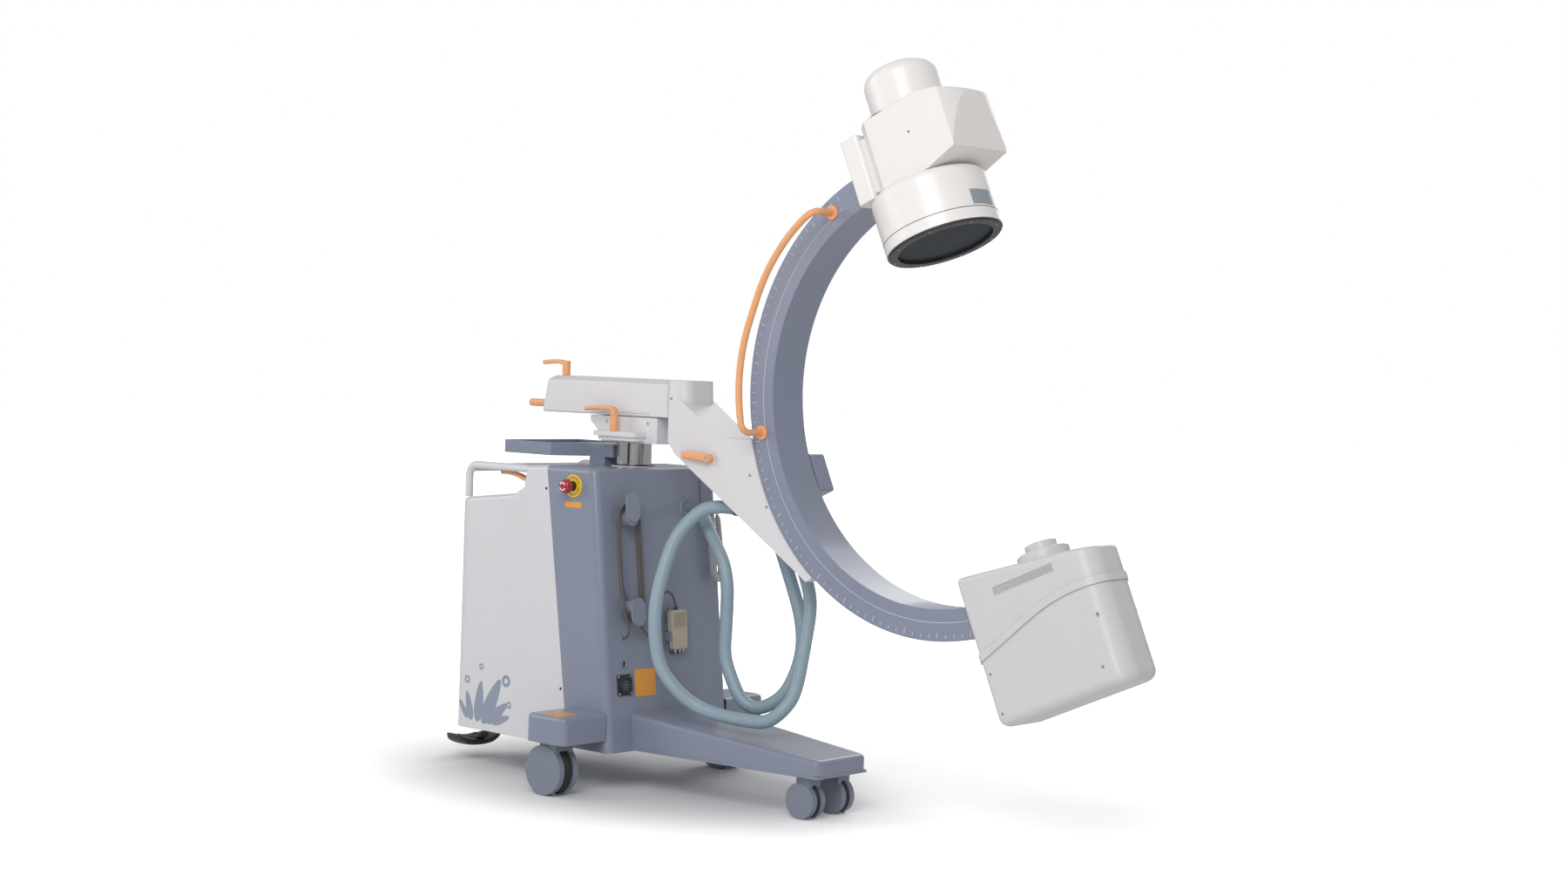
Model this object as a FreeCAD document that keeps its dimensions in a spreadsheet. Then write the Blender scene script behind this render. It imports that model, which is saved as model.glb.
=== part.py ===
import FreeCAD, Part
import math
import os
import re
import Sketcher
from FreeCAD import Placement, Rotation, Vector

# Mobile C-arm X-ray stand, in millimetres.
# Frame: +X is the travel direction of the cart, from the push handle to the arc, and +Z is up.
# The origin lies on the floor under the middle of the whole machine.

SIZES = {
    # Places of the main axes
    "column_reach": -552,
    "arc_reach": 1094,
    "arc_height": 1112,
    "beam_tilt": 23.8,
    "beam_reach": 130,
    "pivot_height": 1068,
    # Cart body
    "body_height": 876,
    "skirt_height": 112,
    "body_width": 480,
    "face_top_reach": 89,
    "face_foot_reach": 179,
    "joint_top_reach": -96,
    "joint_foot_reach": 18,
    "rear_reach": 469,
    "hump_reach": 184,
    "hump_drop": 64,
    "deck_reach": 232,
    "deck_drop": 86,
    "deck_rear_drop": 112,
    "deck_fillet": 30,
    "rear_corner_radius": 60,
    "front_corner_radius": 22,
    "shell_rounding": 14,
    "shell_wall": 4,
    # Steel frame under the body
    "plate_height": 114,
    "plate_thickness": 20,
    "frame_margin": 6,
    "beam_width": 80,
    "beam_low": 150,
    "beam_high": 200,
    "leg_beam_half": 50,
    "leg_beam_high": 150,
    "leg_plate_thickness": 7,
    # Covers of the front leg and of the outriggers
    "leg_root_half": 150,
    "leg_tip_half": 100,
    "leg_tip_reach": 796,
    "leg_root_top": 213,
    "leg_tip_top": 161,
    "outrigger_rear": 20,
    "outrigger_front": 166,
    "outrigger_half_span": 400,
    "outrigger_low": 146,
    "outrigger_top": 221,
    "cover_rounding": 12,
    "outrigger_rounding": 20,
    # Casters
    "rear_caster_reach": 81,
    "rear_caster_offset": 341,
    "rear_wheel_radius": 68,
    "rear_caster_width": 68,
    "rear_caster_trail": 15,
    "front_caster_reach": 732,
    "front_caster_offset": 59,
    "front_wheel_radius": 48,
    "front_caster_width": 50,
    "front_caster_trail": 8,
    "disc_thickness": 17,
    "wheel_gap": 2,
    "tyre_gap": 3,
    "stem_radius": 10,
    "stem_depth": 34,
    "axle_radius": 6,
    "running_gap": 0.3,
    "prong_width": 6,
    "prong_clear": 3,
    # Column and lift drive
    "column_radius": 50,
    "column_bore": 44,
    "column_foot": 240,
    "block_low": 944,
    "guide_radius": 62,
    "collar_top": 878,
    "spigot_radius": 30,
    "spigot_height": 46,
    "drive_radius": 30,
    "drive_top": 760,
    "rod_radius": 14,
    "rod_foot": 240,
    # Power unit
    "power_rear": 440,
    "power_front": 120,
    "power_half_width": 190,
    "power_height": 560,
    # Tray
    "tray_low": 898,
    "tray_high": 934,
    "tray_rear": 378,
    "tray_front": 179,
    "tray_half_width": 150,
    "tray_rim": 5,
    "tray_neck_half": 45,
    # Swivel block, its lever shelf and the slide carriage
    "block_high": 1016,
    "block_rear": 116,
    "block_rear_foot": 72,
    "block_front": 145,
    "block_half_width": 60,
    "shelf_rear": 62,
    "shelf_front": 104,
    "shelf_half_width": 112,
    "shelf_low": 961,
    "shelf_high": 975,
    "carriage_half_length": 60,
    "carriage_half_width": 56,
    "carriage_low": 1026,
    "carriage_high": 1048,
    "carriage_neck_half": 29,
    "carriage_neck_length": 45,
    "rail_radius": 8,
    "rail_offset": 42,
    "rail_height": 1037,
    # Arm
    "arm_low": 1018,
    "arm_shoulder": 1110,
    "arm_high": 1122,
    "arm_half_width": 65,
    "arm_crown_half": 35,
    "arm_front": 190,
    "arm_rear_top": 285,
    "arm_rear_low": 307,
    "arm_wall": 6,
    "arm_cavity_rear": 279,
    "bulkhead_rear": 148,
    "slot_rear": 250,
    "slot_front": 50,
    "shaft_radius": 15,
    "shaft_rear": 96,
    "flange_gap": 2,
    "flange_radius": 42,
    # Bracket that carries the arc
    "bracket_half_width": 65,
    "bracket_neck": 252,
    "bracket_shoulder_reach": 384,
    "bracket_shoulder_height": 974,
    "bracket_heel_reach": 216,
    "bracket_heel_height": 924,
    "bracket_tip_reach": 704,
    "bracket_tip_height": 614,
    "arc_gap": 1.5,
    "tongue_half": 20,
    "roller_radius": 26,
    "roller_width": 20,
    "roller_axle_radius": 8,
    "upper_roller_angle": 200.3,
    "lower_roller_angle": 225.8,
    # Arc
    "arc_radius": 610,
    "arc_depth": 80,
    "arc_width": 120,
    "arc_wall": 7,
    "arc_slot_half": 26,
    "arc_end": -35,
    # Image intensifier on the beam axis
    "drum_radius": 151,
    "drum_low": 362,
    "drum_high": 513,
    "drum_wall": 5,
    "lip_radius": 137,
    "ring_depth": 6,
    "ring_inner": 124,
    "housing_rear": 91,
    "housing_front_low": 176,
    "housing_front_high": 202,
    "housing_half_width": 110,
    "housing_high": 709,
    "housing_brow": 683,
    "housing_chin": 533,
    "housing_bulge": 264,
    "housing_corner": 186,
    "camera_radius": 98,
    "camera_shift": 20,
    "camera_high": 830,
    "mount_low": 528,
    "mount_high": 704,
    "mount_half_width": 80,
    "mount_front": 20,
    # Tube head
    "head_half_width": 82,
    "head_rear": -88,
    "head_front": 308,
    "head_low": -834,
    "head_top_rear": -449,
    "head_top_front": -500,
    "head_rear_rounding": 16,
    "head_front_rounding": 56,
    "head_rounding": 26,
    "head_wall": 5,
    "split_rear": -668,
    "split_knee": -611,
    "split_bend": 100,
    "split_crest": 242,
    "split_front": -590,
    "split_radius": 488,
    "band_height": 20,
    "band_proud": 4,
    "port_radius": 40,
    "port_high": -437,
    "port_flange_radius": 66,
    "port_flange_high": -460,
    "vent_length": 20,
    "vent_width": 2.2,
    "vent_pitch": 5,
    "vent_count": 37,
    "vent_start": 15,
    "vent_middle": -516,
    # Handles and levers
    "push_tube_radius": 11,
    "push_drop": 16,
    "push_offset": 214,
    "push_rear": 444,
    "push_bend": 32,
    "grab_radius": 9,
    "grab_path_radius": 575,
    "grab_stand": 140,
    "grab_bend": 28,
    "grab_start": 103.4,
    "grab_end": 168,
    "lever_hub_radius": 12,
    "lever_thickness": 12,
    "swivel_lever_reach": 12,
    "swivel_lever_offset": 94,
    "swivel_lever_height": 1046,
    "swivel_lever_length": 118,
    "lock_lever_reach": 262,
    "lock_lever_offset": 20,
    "lock_lever_rise": 46,
    "lock_lever_length": 96,
    "orbit_lever_reach": 356,
    "orbit_lever_height": 917,
    "orbit_lever_length": 108,
    "orbit_lever_width": 24,
    "grip_radius": 11,
    "grip_height": 1040,
    "grip_end": 433,
    "grip_pin_radius": 6,
    # Emergency stop
    "stop_reach": 13,
    "stop_height": 825,
    "stop_ring_radius": 32,
    "stop_ring_depth": 5,
    "stop_stem_radius": 11,
    "stop_head_radius": 20,
    "stop_travel_gap": 20,
    # Steering lever and brake pedal
    "steer_reach": 212,
    "steer_drop": 56,
    "steer_offset": 184,
    "steer_half_width": 16,
    "steer_length": 128,
    "pedal_axis_reach": 153,
    "pedal_axis_height": 100,
    "pedal_offset": 95,
    "pedal_front": 482,
    "pedal_rear": 572,
    "pedal_half_width": 78,
    "pedal_top": 74,
    "pedal_depth": 40,
    # Fittings on the front face
    "hook_offset": 146,
    "hook_upper_height": 740,
    "hook_lower_height": 500,
    "hook_stem_radius": 22,
    "hook_paddle_half": 26,
    "hook_depth": 44,
    "hank_half_width": 42,
    "hank_thickness": 17,
    "hank_depth": 16,
    "hanger_offset": 192,
    "hanger_height": 742,
    "grommet_offset": 167,
    "grommet_height": 416,
    "jack_height": 348,
    "multipin_height": 291,
    "multipin_half": 29,
    "switch_offset": 33,
    "switch_height": 428,
    "switch_half_width": 31,
    "switch_half_height": 55,
    "switch_depth": 32,
    # Hoses, cables and their fittings
    "hose_radius": 18,
    "cable_radius": 3,
    "curl_radius": 8,
    "clamp_rear": 391,
    "clamp_front": 432,
    "clamp_height": 784,
    "gland_rear": 425,
    "gland_front": 525,
    "gland_low": 750,
    "gland_high": 774,
    "gland_out": 120,
    "entry_angle": 204.4,
    "entry_inner": 528,
    "entry_outer": 690,
    "entry_half": 54,
    "entry_out": 126,
}

doc = FreeCAD.newDocument("mobile_c_arm")
dims = doc.addObject("Spreadsheet::Sheet", "dims")
for row, (alias, number) in enumerate(SIZES.items(), start=1):
    dims.set(f"A{row}", alias)
    dims.set(f"B{row}", str(number))
    dims.setAlias(f"B{row}", alias)
doc.recompute()

WORD = re.compile(r"[a-z][a-z_]+")
nodes = {}


def bound(text):
    """The expression with each size's name led by the sheet that holds it."""
    return WORD.sub(lambda word: "dims." + word.group(0) if word.group(0) in SIZES else word.group(0), text)


def value(text):
    """The number that an expression gives now."""
    result = dims.evalExpression(bound(text))
    return float(getattr(result, "Value", result))


# Frames that the sub-parts are built in: a place, and a turn about Y in degrees
CART = ("column_reach", "0", "0", None)
ARC = ("column_reach + arc_reach", "0", "arc_height", "-beam_tilt")
BEAM = (
    "column_reach + arc_reach + beam_reach * cos(beam_tilt)",
    "0",
    "arc_height + beam_reach * sin(beam_tilt)",
    "-beam_tilt",
)
FACE = (
    "column_reach + face_foot_reach",
    "0",
    "skirt_height",
    "-atan((face_foot_reach - face_top_reach) / (body_height - skirt_height))",
)


def set_frame(item, frame):
    """Places an object in a frame, bound to the sheet."""
    item.Placement = Placement(Vector(), Rotation(Vector(0, 1, 0), -1 if frame[3] else 0))
    for axis, text in zip("xyz", frame[:3]):
        item.setExpression(f"Placement.Base.{axis}", bound(text))
    if frame[3]:
        item.setExpression("Placement.Rotation.Angle", bound(frame[3]))


class Piece:
    """A body whose features are bound to the sheet, each checked to change the volume."""

    def __init__(self, name, frame=CART, keep=True):
        self.body = doc.addObject("PartDesign::Body", name)
        self.body.Label = name if keep else name + "_form"
        set_frame(self.body, frame)
        self.count = 0
        if keep:
            nodes[name] = self.body

    @property
    def shape(self):
        return self.body.Tip.Shape

    def sketch(self, plane, shift="0"):
        """An empty sketch on an origin plane, moved along the plane's world axis by shift."""
        self.count += 1
        sketch = self.body.newObject("Sketcher::SketchObject", f"{self.body.Name}_sketch_{self.count}")
        support = [item for item in self.body.Origin.OriginFeatures if item.Role == plane + "_Plane"][0]
        sketch.AttachmentSupport = (support, [""])
        sketch.MapMode = "FlatFace"
        sign = "-" if plane == "XZ" else ""
        sketch.setExpression("AttachmentOffset.Base.z", bound(f"{sign}({shift})"))
        return sketch

    def outline(self, plane, points, shift="0", closed=True):
        """A line through points; a third item gives the radius of the arc that leads to the point."""
        sketch = self.sketch(plane, shift)
        places = [Vector(value(point[0]), value(point[1]), 0) for point in points]
        spans = range(0 if closed else 1, len(points))
        order = []
        for index in spans:
            start, end = places[index - 1], places[index]
            arc = len(points[index]) > 2
            if arc:
                radius = value(points[index][2])
                number = sketch.addGeometry(bulging_arc(start, end, radius))
                bind(
                    sketch, Sketcher.Constraint("Radius", number, abs(radius)), points[index][2].lstrip("-")
                )
                order.append((number, 1, 2) if radius > 0 else (number, 2, 1))
            else:
                number = sketch.addGeometry(Part.LineSegment(start, end))
                order.append((number, 1, 2))
        for place, (number, _, last) in zip(spans, order):
            bind(
                sketch,
                Sketcher.Constraint("DistanceX", -1, 1, number, last, places[place].x),
                points[place][0],
            )
            bind(
                sketch,
                Sketcher.Constraint("DistanceY", -1, 1, number, last, places[place].y),
                points[place][1],
            )
        firsts = order[-1:] + order[:-1] if closed else order[:-1]
        for before, after in zip(firsts, order if closed else order[1:]):
            sketch.addConstraint(Sketcher.Constraint("Coincident", before[0], before[2], after[0], after[1]))
        if not closed:
            number = order[0][0]
            bind(sketch, Sketcher.Constraint("DistanceX", -1, 1, number, 1, places[0].x), points[0][0])
            bind(sketch, Sketcher.Constraint("DistanceY", -1, 1, number, 1, places[0].y), points[0][1])
        return sketch

    def box_outline(self, plane, left, right, low, high, shift="0"):
        """A rectangle between two places on each axis of the plane."""
        return self.outline(plane, [(left, low), (right, low), (right, high), (left, high)], shift)

    def discs(self, plane, circles, shift="0"):
        """Circles, each given by its centre and its radius."""
        sketch = self.sketch(plane, shift)
        for across, along, radius in circles:
            centre = Vector(value(across), value(along), 0)
            number = sketch.addGeometry(Part.Circle(centre, Vector(0, 0, 1), value(radius)))
            bind(sketch, Sketcher.Constraint("DistanceX", -1, 1, number, 3, centre.x), across)
            bind(sketch, Sketcher.Constraint("DistanceY", -1, 1, number, 3, centre.y), along)
            bind(sketch, Sketcher.Constraint("Radius", number, value(radius)), radius)
        return sketch

    def add(self, kind, **settings):
        """One feature, computed and checked."""
        self.count += 1
        before = self.shape.Volume if self.body.Tip else 0.0
        feature = self.body.newObject("PartDesign::" + kind, f"{self.body.Name}_{kind.lower()}_{self.count}")
        for key, setting in settings.items():
            if isinstance(setting, str) and key in ("Length", "Angle", "Radius", "Size", "Value"):
                feature.setExpression(key, bound(setting))
            else:
                setattr(feature, key, setting)
        self.body.Tip = feature
        doc.recompute()
        if not feature.isValid() or abs(self.shape.Volume - before) < 1e-3:
            raise ValueError(f"{feature.Name} changes nothing: {feature.State} {self.shape.Volume}")
        return feature

    def pad(self, sketch, length, way=0):
        """Material along the plane's axis: both ways for 0, or only up or down the axis."""
        upward = sketch.AttachmentSupport[0][0].Role != "XZ_Plane"
        back = (way < 0) == upward and way != 0
        return self.add("Pad", Profile=sketch, Length=length, Midplane=way == 0, Reversed=back)

    def pocket(self, sketch, length, way=0):
        """A cut along the plane's axis: both ways for 0, or only up or down the axis."""
        upward = sketch.AttachmentSupport[0][0].Role != "XZ_Plane"
        back = (way > 0) == upward and way != 0
        return self.add("Pocket", Profile=sketch, Length=length, Midplane=way == 0, Reversed=back)

    def turned(self, sketch, angle="360", axis="V_Axis", kind="Revolution"):
        """A turned form about an axis of the sketch."""
        return self.add(kind, Profile=sketch, ReferenceAxis=(sketch, [axis]), Angle=angle)

    def rounded(self, radius, pick):
        """Edges that pick accepts get a round."""
        names = [f"Edge{i}" for i, edge in enumerate(self.shape.Edges, start=1) if pick(edge)]
        return self.add("Fillet", Base=(self.body.Tip, names), Radius=radius)

    def bevelled(self, size, pick):
        """Edges that pick accepts get a bevel."""
        names = [f"Edge{i}" for i, edge in enumerate(self.shape.Edges, start=1) if pick(edge)]
        return self.add("Chamfer", Base=(self.body.Tip, names), Size=size)

    def hollowed(self, wall, pick):
        """The piece becomes a shell of one wall, open at the faces that pick accepts."""
        names = [f"Face{i}" for i, face in enumerate(self.shape.Faces, start=1) if pick(face)]
        return self.add("Thickness", Base=(self.body.Tip, names), Value=wall, Reversed=True)


def bind(sketch, constraint, text):
    """Adds a constraint and binds it to the sheet."""
    number = sketch.addConstraint(constraint)
    sketch.setExpression(f"Constraints[{number}]", bound(text))


def bulging_arc(start, end, radius):
    """The shorter arc between two points; a positive radius bulges to the right of the way."""
    first, last = (start, end) if radius > 0 else (end, start)
    chord = last - first
    left = Vector(-chord.y, chord.x, 0).normalize()
    centre = (first + last) * 0.5 + left * math.sqrt(radius * radius - chord.Length ** 2 / 4)
    angles = [math.atan2(point.y - centre.y, point.x - centre.x) for point in (first, last)]
    return Part.ArcOfCircle(Part.Circle(centre, Vector(0, 0, 1), abs(radius)), *angles)


def runs_along(edge, axis):
    """Whether a straight edge runs along x, y or z."""
    if not isinstance(edge.Curve, Part.Line):
        return False
    return abs(getattr(edge.Curve.Direction, axis)) > 0.999


def at(item, **places):
    """Whether the middle of an edge or face has the places given, to half a millimetre."""
    middle = item.BoundBox.Center
    return all(abs(getattr(middle, axis) - value(text)) < 0.5 for axis, text in places.items())


def faces_way(face, x=0, y=0, z=0):
    """Whether a flat face looks along a direction."""
    if not isinstance(face.Surface, Part.Plane):
        return False
    return face.normalAt(0, 0).dot(Vector(x, y, z).normalize()) > 0.995


def group(name, members, kind="Part::Compound"):
    """Several solids kept as one node."""
    item = doc.addObject(kind, name)
    if kind == "Part::Compound":
        item.Links = members
    else:
        item.Shapes = members
    item.Label = name
    nodes[name] = item
    doc.recompute()
    return item


def difference(name, base, tool, keep=True):
    """One solid less another."""
    item = doc.addObject("Part::Cut", name)
    item.Base = base
    item.Tool = tool
    item.Label = name
    if keep:
        nodes[name] = item
    doc.recompute()
    return item


# Cart body: two moulded shells that meet along a slanted joint

JOINT_SLOPE = "((joint_foot_reach - joint_top_reach) / (body_height - skirt_height))"
FACE_SLOPE = "((face_foot_reach - face_top_reach) / (body_height - skirt_height))"


def joint_reach(height):
    """How far forward the joint between the shells lies at a height."""
    return f"(joint_foot_reach - ({height} - skirt_height) * {JOINT_SLOPE})"


def face_reach(height):
    """How far forward the front face lies at a height."""
    return f"(face_foot_reach - ({height} - skirt_height) * {FACE_SLOPE})"


def front_housing():
    """The painted front shell, open below and at the joint, with ways through for the frame's beams."""
    piece = Piece("front_housing")
    profile = [
        ("joint_foot_reach", "skirt_height"),
        ("face_foot_reach", "skirt_height"),
        ("face_top_reach", "body_height"),
        ("joint_top_reach", "body_height"),
    ]
    piece.pad(piece.outline("XZ", profile), "body_width")
    middle = "(body_height + skirt_height) / 2"
    piece.rounded("front_corner_radius", lambda edge: at(edge, x=face_reach(middle), z=middle))
    piece.rounded(
        "shell_rounding",
        lambda edge: abs(edge.BoundBox.Center.z - value("body_height")) < 0.5
        and edge.BoundBox.ZLength < 0.5
        and edge.BoundBox.XMax > value("joint_top_reach") + 1
        and not at(edge, x="joint_top_reach"),
    )
    lean = value("atan(joint_foot_reach / body_height - joint_top_reach / body_height)")
    joint_normal = (-math.cos(math.radians(lean)), -math.sin(math.radians(lean)))
    piece.hollowed(
        "shell_wall",
        lambda face: faces_way(face, z=-1) or (faces_way(face, x=joint_normal[0], z=joint_normal[1])),
    )
    side = piece.box_outline(
        "XZ",
        "rear_caster_reach - beam_width / 2 - running_gap",
        "rear_caster_reach + beam_width / 2 + running_gap",
        "beam_low - running_gap",
        "beam_high + running_gap",
    )
    piece.pocket(side, "body_width + 20")
    leg = piece.box_outline(
        "YZ",
        "-leg_beam_half - running_gap",
        "leg_beam_half + running_gap",
        "skirt_height - 1",
        "leg_beam_high + running_gap",
        "rear_caster_reach + beam_width",
    )
    piece.pocket(leg, "face_foot_reach", way=1)
    piece.pocket(
        piece.discs("XY", [("0", "0", "guide_radius + running_gap")], "body_height + 1"), "30", way=-1
    )


def rear_cover():
    """The white rear shell, with a hump under the push handle and a lower rear deck."""
    skin = Piece("rear_cover", keep=False)
    profile = [
        ("joint_foot_reach", "skirt_height"),
        ("joint_top_reach", "body_height"),
        ("-hump_reach", "body_height - 4"),
        ("-hump_reach - 8", "(body_height - hump_drop)"),
        ("-deck_reach", "(body_height - deck_drop)"),
        ("-rear_reach", "(body_height - deck_rear_drop)"),
        ("-rear_reach", "skirt_height"),
    ]
    skin.pad(skin.outline("XZ", profile), "body_width")
    skin.rounded("rear_corner_radius", lambda edge: runs_along(edge, "z") and at(edge, x="-rear_reach"))
    skin.rounded("deck_fillet", lambda edge: runs_along(edge, "y") and at(edge, x="-deck_reach"))
    skin.rounded(
        "shell_rounding",
        lambda edge: edge.BoundBox.ZMin > value("(body_height - deck_rear_drop)") - 1
        and not runs_along(edge, "y")
        and edge.BoundBox.XMax < value("joint_top_reach") + 1
        or runs_along(edge, "y")
        and (
            at(edge, x="-rear_reach", z="(body_height - deck_rear_drop)")
            or at(edge, x="-hump_reach", z="body_height - 4")
        ),
    )
    core = Piece("rear_cover_core", keep=False)
    profile = [
        ("joint_foot_reach + 20", "skirt_height - 1"),
        ("joint_top_reach + 20", "body_height - shell_wall"),
        ("-hump_reach + shell_wall", "body_height - 4 - shell_wall"),
        ("-hump_reach - 8 + shell_wall", "(body_height - hump_drop) - shell_wall"),
        ("-deck_reach + shell_wall", "(body_height - deck_drop) - shell_wall"),
        ("-rear_reach + shell_wall", "(body_height - deck_rear_drop) - shell_wall"),
        ("-rear_reach + shell_wall", "skirt_height - 1"),
    ]
    core.pad(core.outline("XZ", profile), "body_width - 2 * shell_wall")
    core.rounded(
        "rear_corner_radius - shell_wall",
        lambda edge: runs_along(edge, "z") and at(edge, x="-rear_reach + shell_wall"),
    )
    difference("rear_cover", skin.body, core.body)


def base_frame():
    """The steel frame: floor plate, cross beam for the outriggers and beam for the front leg."""
    piece = Piece("base_frame")
    half = "body_width / 2 - frame_margin"
    plate = piece.box_outline(
        "XY",
        "-rear_reach + frame_margin",
        "face_foot_reach - frame_margin - 4",
        f"-({half})",
        half,
        "plate_height",
    )
    piece.pad(plate, "plate_thickness", way=1)
    corner = "rear_corner_radius"
    piece.rounded(corner, lambda edge: runs_along(edge, "z") and at(edge, x="-rear_reach + frame_margin"))
    nose = "face_foot_reach - frame_margin - 4"
    piece.rounded("front_corner_radius", lambda edge: runs_along(edge, "z") and at(edge, x=nose))
    front, rear = "rear_caster_reach + beam_width / 2", "rear_caster_reach - beam_width / 2"
    web = piece.box_outline("XZ", rear, front, "plate_height + plate_thickness / 2", "beam_high")
    piece.pad(web, f"2 * ({half}) - 20")
    beam = piece.box_outline("XZ", rear, front, "beam_low", "beam_high")
    piece.pad(beam, "2 * (outrigger_half_span - frame_margin - 4)")
    leg_plate = [
        ("face_foot_reach + 0.2", "-leg_root_half"),
        ("leg_tip_reach", "-leg_tip_half"),
        ("leg_tip_reach", "leg_tip_half"),
        ("face_foot_reach + 0.2", "leg_root_half"),
    ]
    piece.pad(piece.outline("XY", leg_plate, "plate_height"), "leg_plate_thickness", way=1)
    beam = piece.box_outline(
        "XY",
        "rear_caster_reach",
        "front_caster_reach + 40",
        "-leg_beam_half",
        "leg_beam_half",
        "plate_height",
    )
    piece.pad(beam, "leg_beam_high - plate_height", way=1)
    head = piece.box_outline(
        "XY",
        "front_caster_reach - 40",
        "front_caster_reach + 40",
        "-front_caster_offset - 26",
        "front_caster_offset + 26",
        "plate_height",
    )
    piece.pad(head, "leg_beam_high - plate_height", way=1)
    bore = "stem_radius + running_gap"
    rear_bores = [("rear_caster_reach", f"{side}rear_caster_offset", bore) for side in ("-", "")]
    piece.pocket(piece.discs("XY", rear_bores, "beam_low - 1"), "stem_depth + 1 + 2", way=1)
    front_bores = [("front_caster_reach", f"{side}front_caster_offset", bore) for side in ("-", "")]
    piece.pocket(piece.discs("XY", front_bores, "plate_height - 1"), "stem_depth + 1", way=1)
    seat = piece.discs(
        "XY", [("0", "0", "guide_radius + 24 + running_gap")], "plate_height + plate_thickness"
    )
    piece.pocket(seat, "beam_high", way=1)


def leg_form(name, inset, drop, reach):
    """The form of the front leg, set in by a wall thickness; it runs back by reach and down by drop."""
    form = Piece(name, keep=False)
    foot = f"(plate_height + leg_plate_thickness - {drop})"
    profile = [
        (f"{face_reach(foot)} + 0.2 - {reach}", foot),
        (f"leg_tip_reach - {inset}", foot),
        (f"leg_tip_reach - {inset}", f"leg_tip_top - {inset}"),
        (f"{face_reach('leg_root_top')} + 0.2 - {reach}", f"leg_root_top - {inset}"),
    ]
    form.pad(form.outline("XZ", profile), "2 * leg_root_half + 40")
    for side in ("-", ""):
        wedge = [
            ("face_foot_reach", f"{side}(leg_root_half - {inset})"),
            (f"leg_tip_reach - {inset}", f"{side}(leg_tip_half - {inset})"),
            ("leg_tip_reach + 20", f"{side}(leg_tip_half - {inset})"),
            ("leg_tip_reach + 20", f"{side}(leg_root_half + 40)"),
            (f"face_foot_reach - {reach} - 60", f"{side}(leg_root_half + 40)"),
            (f"face_foot_reach - {reach} - 60", f"{side}(leg_root_half - {inset})"),
        ]
        form.pocket(form.outline("XY", wedge, "leg_root_top + 1"), "leg_root_top", way=-1)
    form.rounded(
        f"outrigger_rounding - {inset}",
        lambda edge: runs_along(edge, "z") and at(edge, x=f"leg_tip_reach - {inset}"),
    )
    top = value(f"leg_tip_top - {inset}")
    form.rounded(
        f"cover_rounding - {inset}",
        lambda edge: edge.BoundBox.ZMin > top - 1
        and (abs(edge.BoundBox.Center.y) > 80 or edge.BoundBox.Center.x > value("leg_tip_reach") - 10),
    )
    return form


def outrigger_form(name, mark, inset, drop, reach):
    """The form of an outrigger's end, set in by a wall thickness, on the side that mark gives."""
    form = Piece(name, keep=False)
    inner, outer = f"{mark}(body_width / 2 + 0.2 - {reach})", f"{mark}(outrigger_half_span - {inset})"
    plan = form.box_outline(
        "XY",
        f"outrigger_rear + {inset}",
        f"outrigger_front - {inset}",
        *((outer, inner) if mark else (inner, outer)),
        f"outrigger_low - {drop}",
    )
    form.pad(plan, f"outrigger_top - outrigger_low + {drop} - {inset}", way=1)
    form.rounded(f"outrigger_rounding - {inset}", lambda edge: runs_along(edge, "z") and at(edge, y=outer))
    top = value(f"outrigger_top - {inset}")
    form.rounded(
        f"cover_rounding - {inset}",
        lambda edge: edge.BoundBox.ZMin > top - 1 and not at(edge, y=inner),
    )
    return form


def leg_and_outrigger_covers():
    """The moulded covers of the leg and of the cross beam's two ends, each hollow and open below."""
    leg = leg_form("leg", "0", "0", "0").body
    core = leg_form("leg_core", "shell_wall", "10", "30").body
    difference("leg_cover", leg, core)
    covers = []
    for mark, name in (("-", "right"), ("", "left")):
        outside = outrigger_form(f"{name}_outrigger", mark, "0", "0", "0").body
        core = outrigger_form(f"{name}_outrigger_core", mark, "shell_wall", "10", "30").body
        covers.append(difference(f"{name}_outrigger_cover", outside, core, keep=False))
    group("outrigger_covers", covers)


def caster(name, reach, offset, wheel_radius, width, trail, mount):
    """A hooded caster: a fork of two discs with its stem, axle and prongs, and the wheel between them."""
    place = (f"column_reach + {reach}", offset, "0", None)
    fork = Piece(f"{name}_fork", place)
    slot = f"({width} - 2 * disc_thickness)"
    fork.pad(fork.discs("XZ", [(f"-{trail}", wheel_radius, f"({wheel_radius} - 1)")]), width)
    bridge = fork.box_outline(
        "XZ", f"-{wheel_radius} * 0.45", f"{wheel_radius} * 0.45", wheel_radius, f"{mount} - 1"
    )
    fork.pad(bridge, f"{width} - 4")
    for shift in (-0.45, 0.45):
        prong = fork.box_outline(
            "XZ",
            f"-{trail} + {wheel_radius} * {shift} - prong_width / 2",
            f"-{trail} + {wheel_radius} * {shift} + prong_width / 2",
            "prong_clear",
            f"{wheel_radius} / 2",
        )
        fork.pad(prong, f"{width} - disc_thickness")
    fork.pocket(fork.discs("XZ", [(f"-{trail}", wheel_radius, f"({wheel_radius} + tyre_gap)")]), slot)
    fork.pad(fork.discs("XZ", [(f"-{trail}", wheel_radius, "axle_radius")]), width)
    fork.pad(fork.discs("XZ", [(f"-{trail}", wheel_radius, "axle_radius * 2")]), f"{slot}")
    fork.pad(fork.discs("XY", [("0", "0", "stem_radius")], f"{mount} - 2"), "stem_depth", way=1)
    wheel = Piece(f"{name}_wheel", place)
    wheel.pad(wheel.discs("XZ", [(f"-{trail}", wheel_radius, wheel_radius)]), f"{slot} - 2 * wheel_gap")
    wheel.rounded(
        "wheel_gap * 2",
        lambda edge: edge.BoundBox.ZMin < 1 and edge.BoundBox.ZLength > value(wheel_radius),
    )
    wheel.pocket(wheel.discs("XZ", [(f"-{trail}", wheel_radius, "(axle_radius * 2 + running_gap)")]), width)


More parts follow.
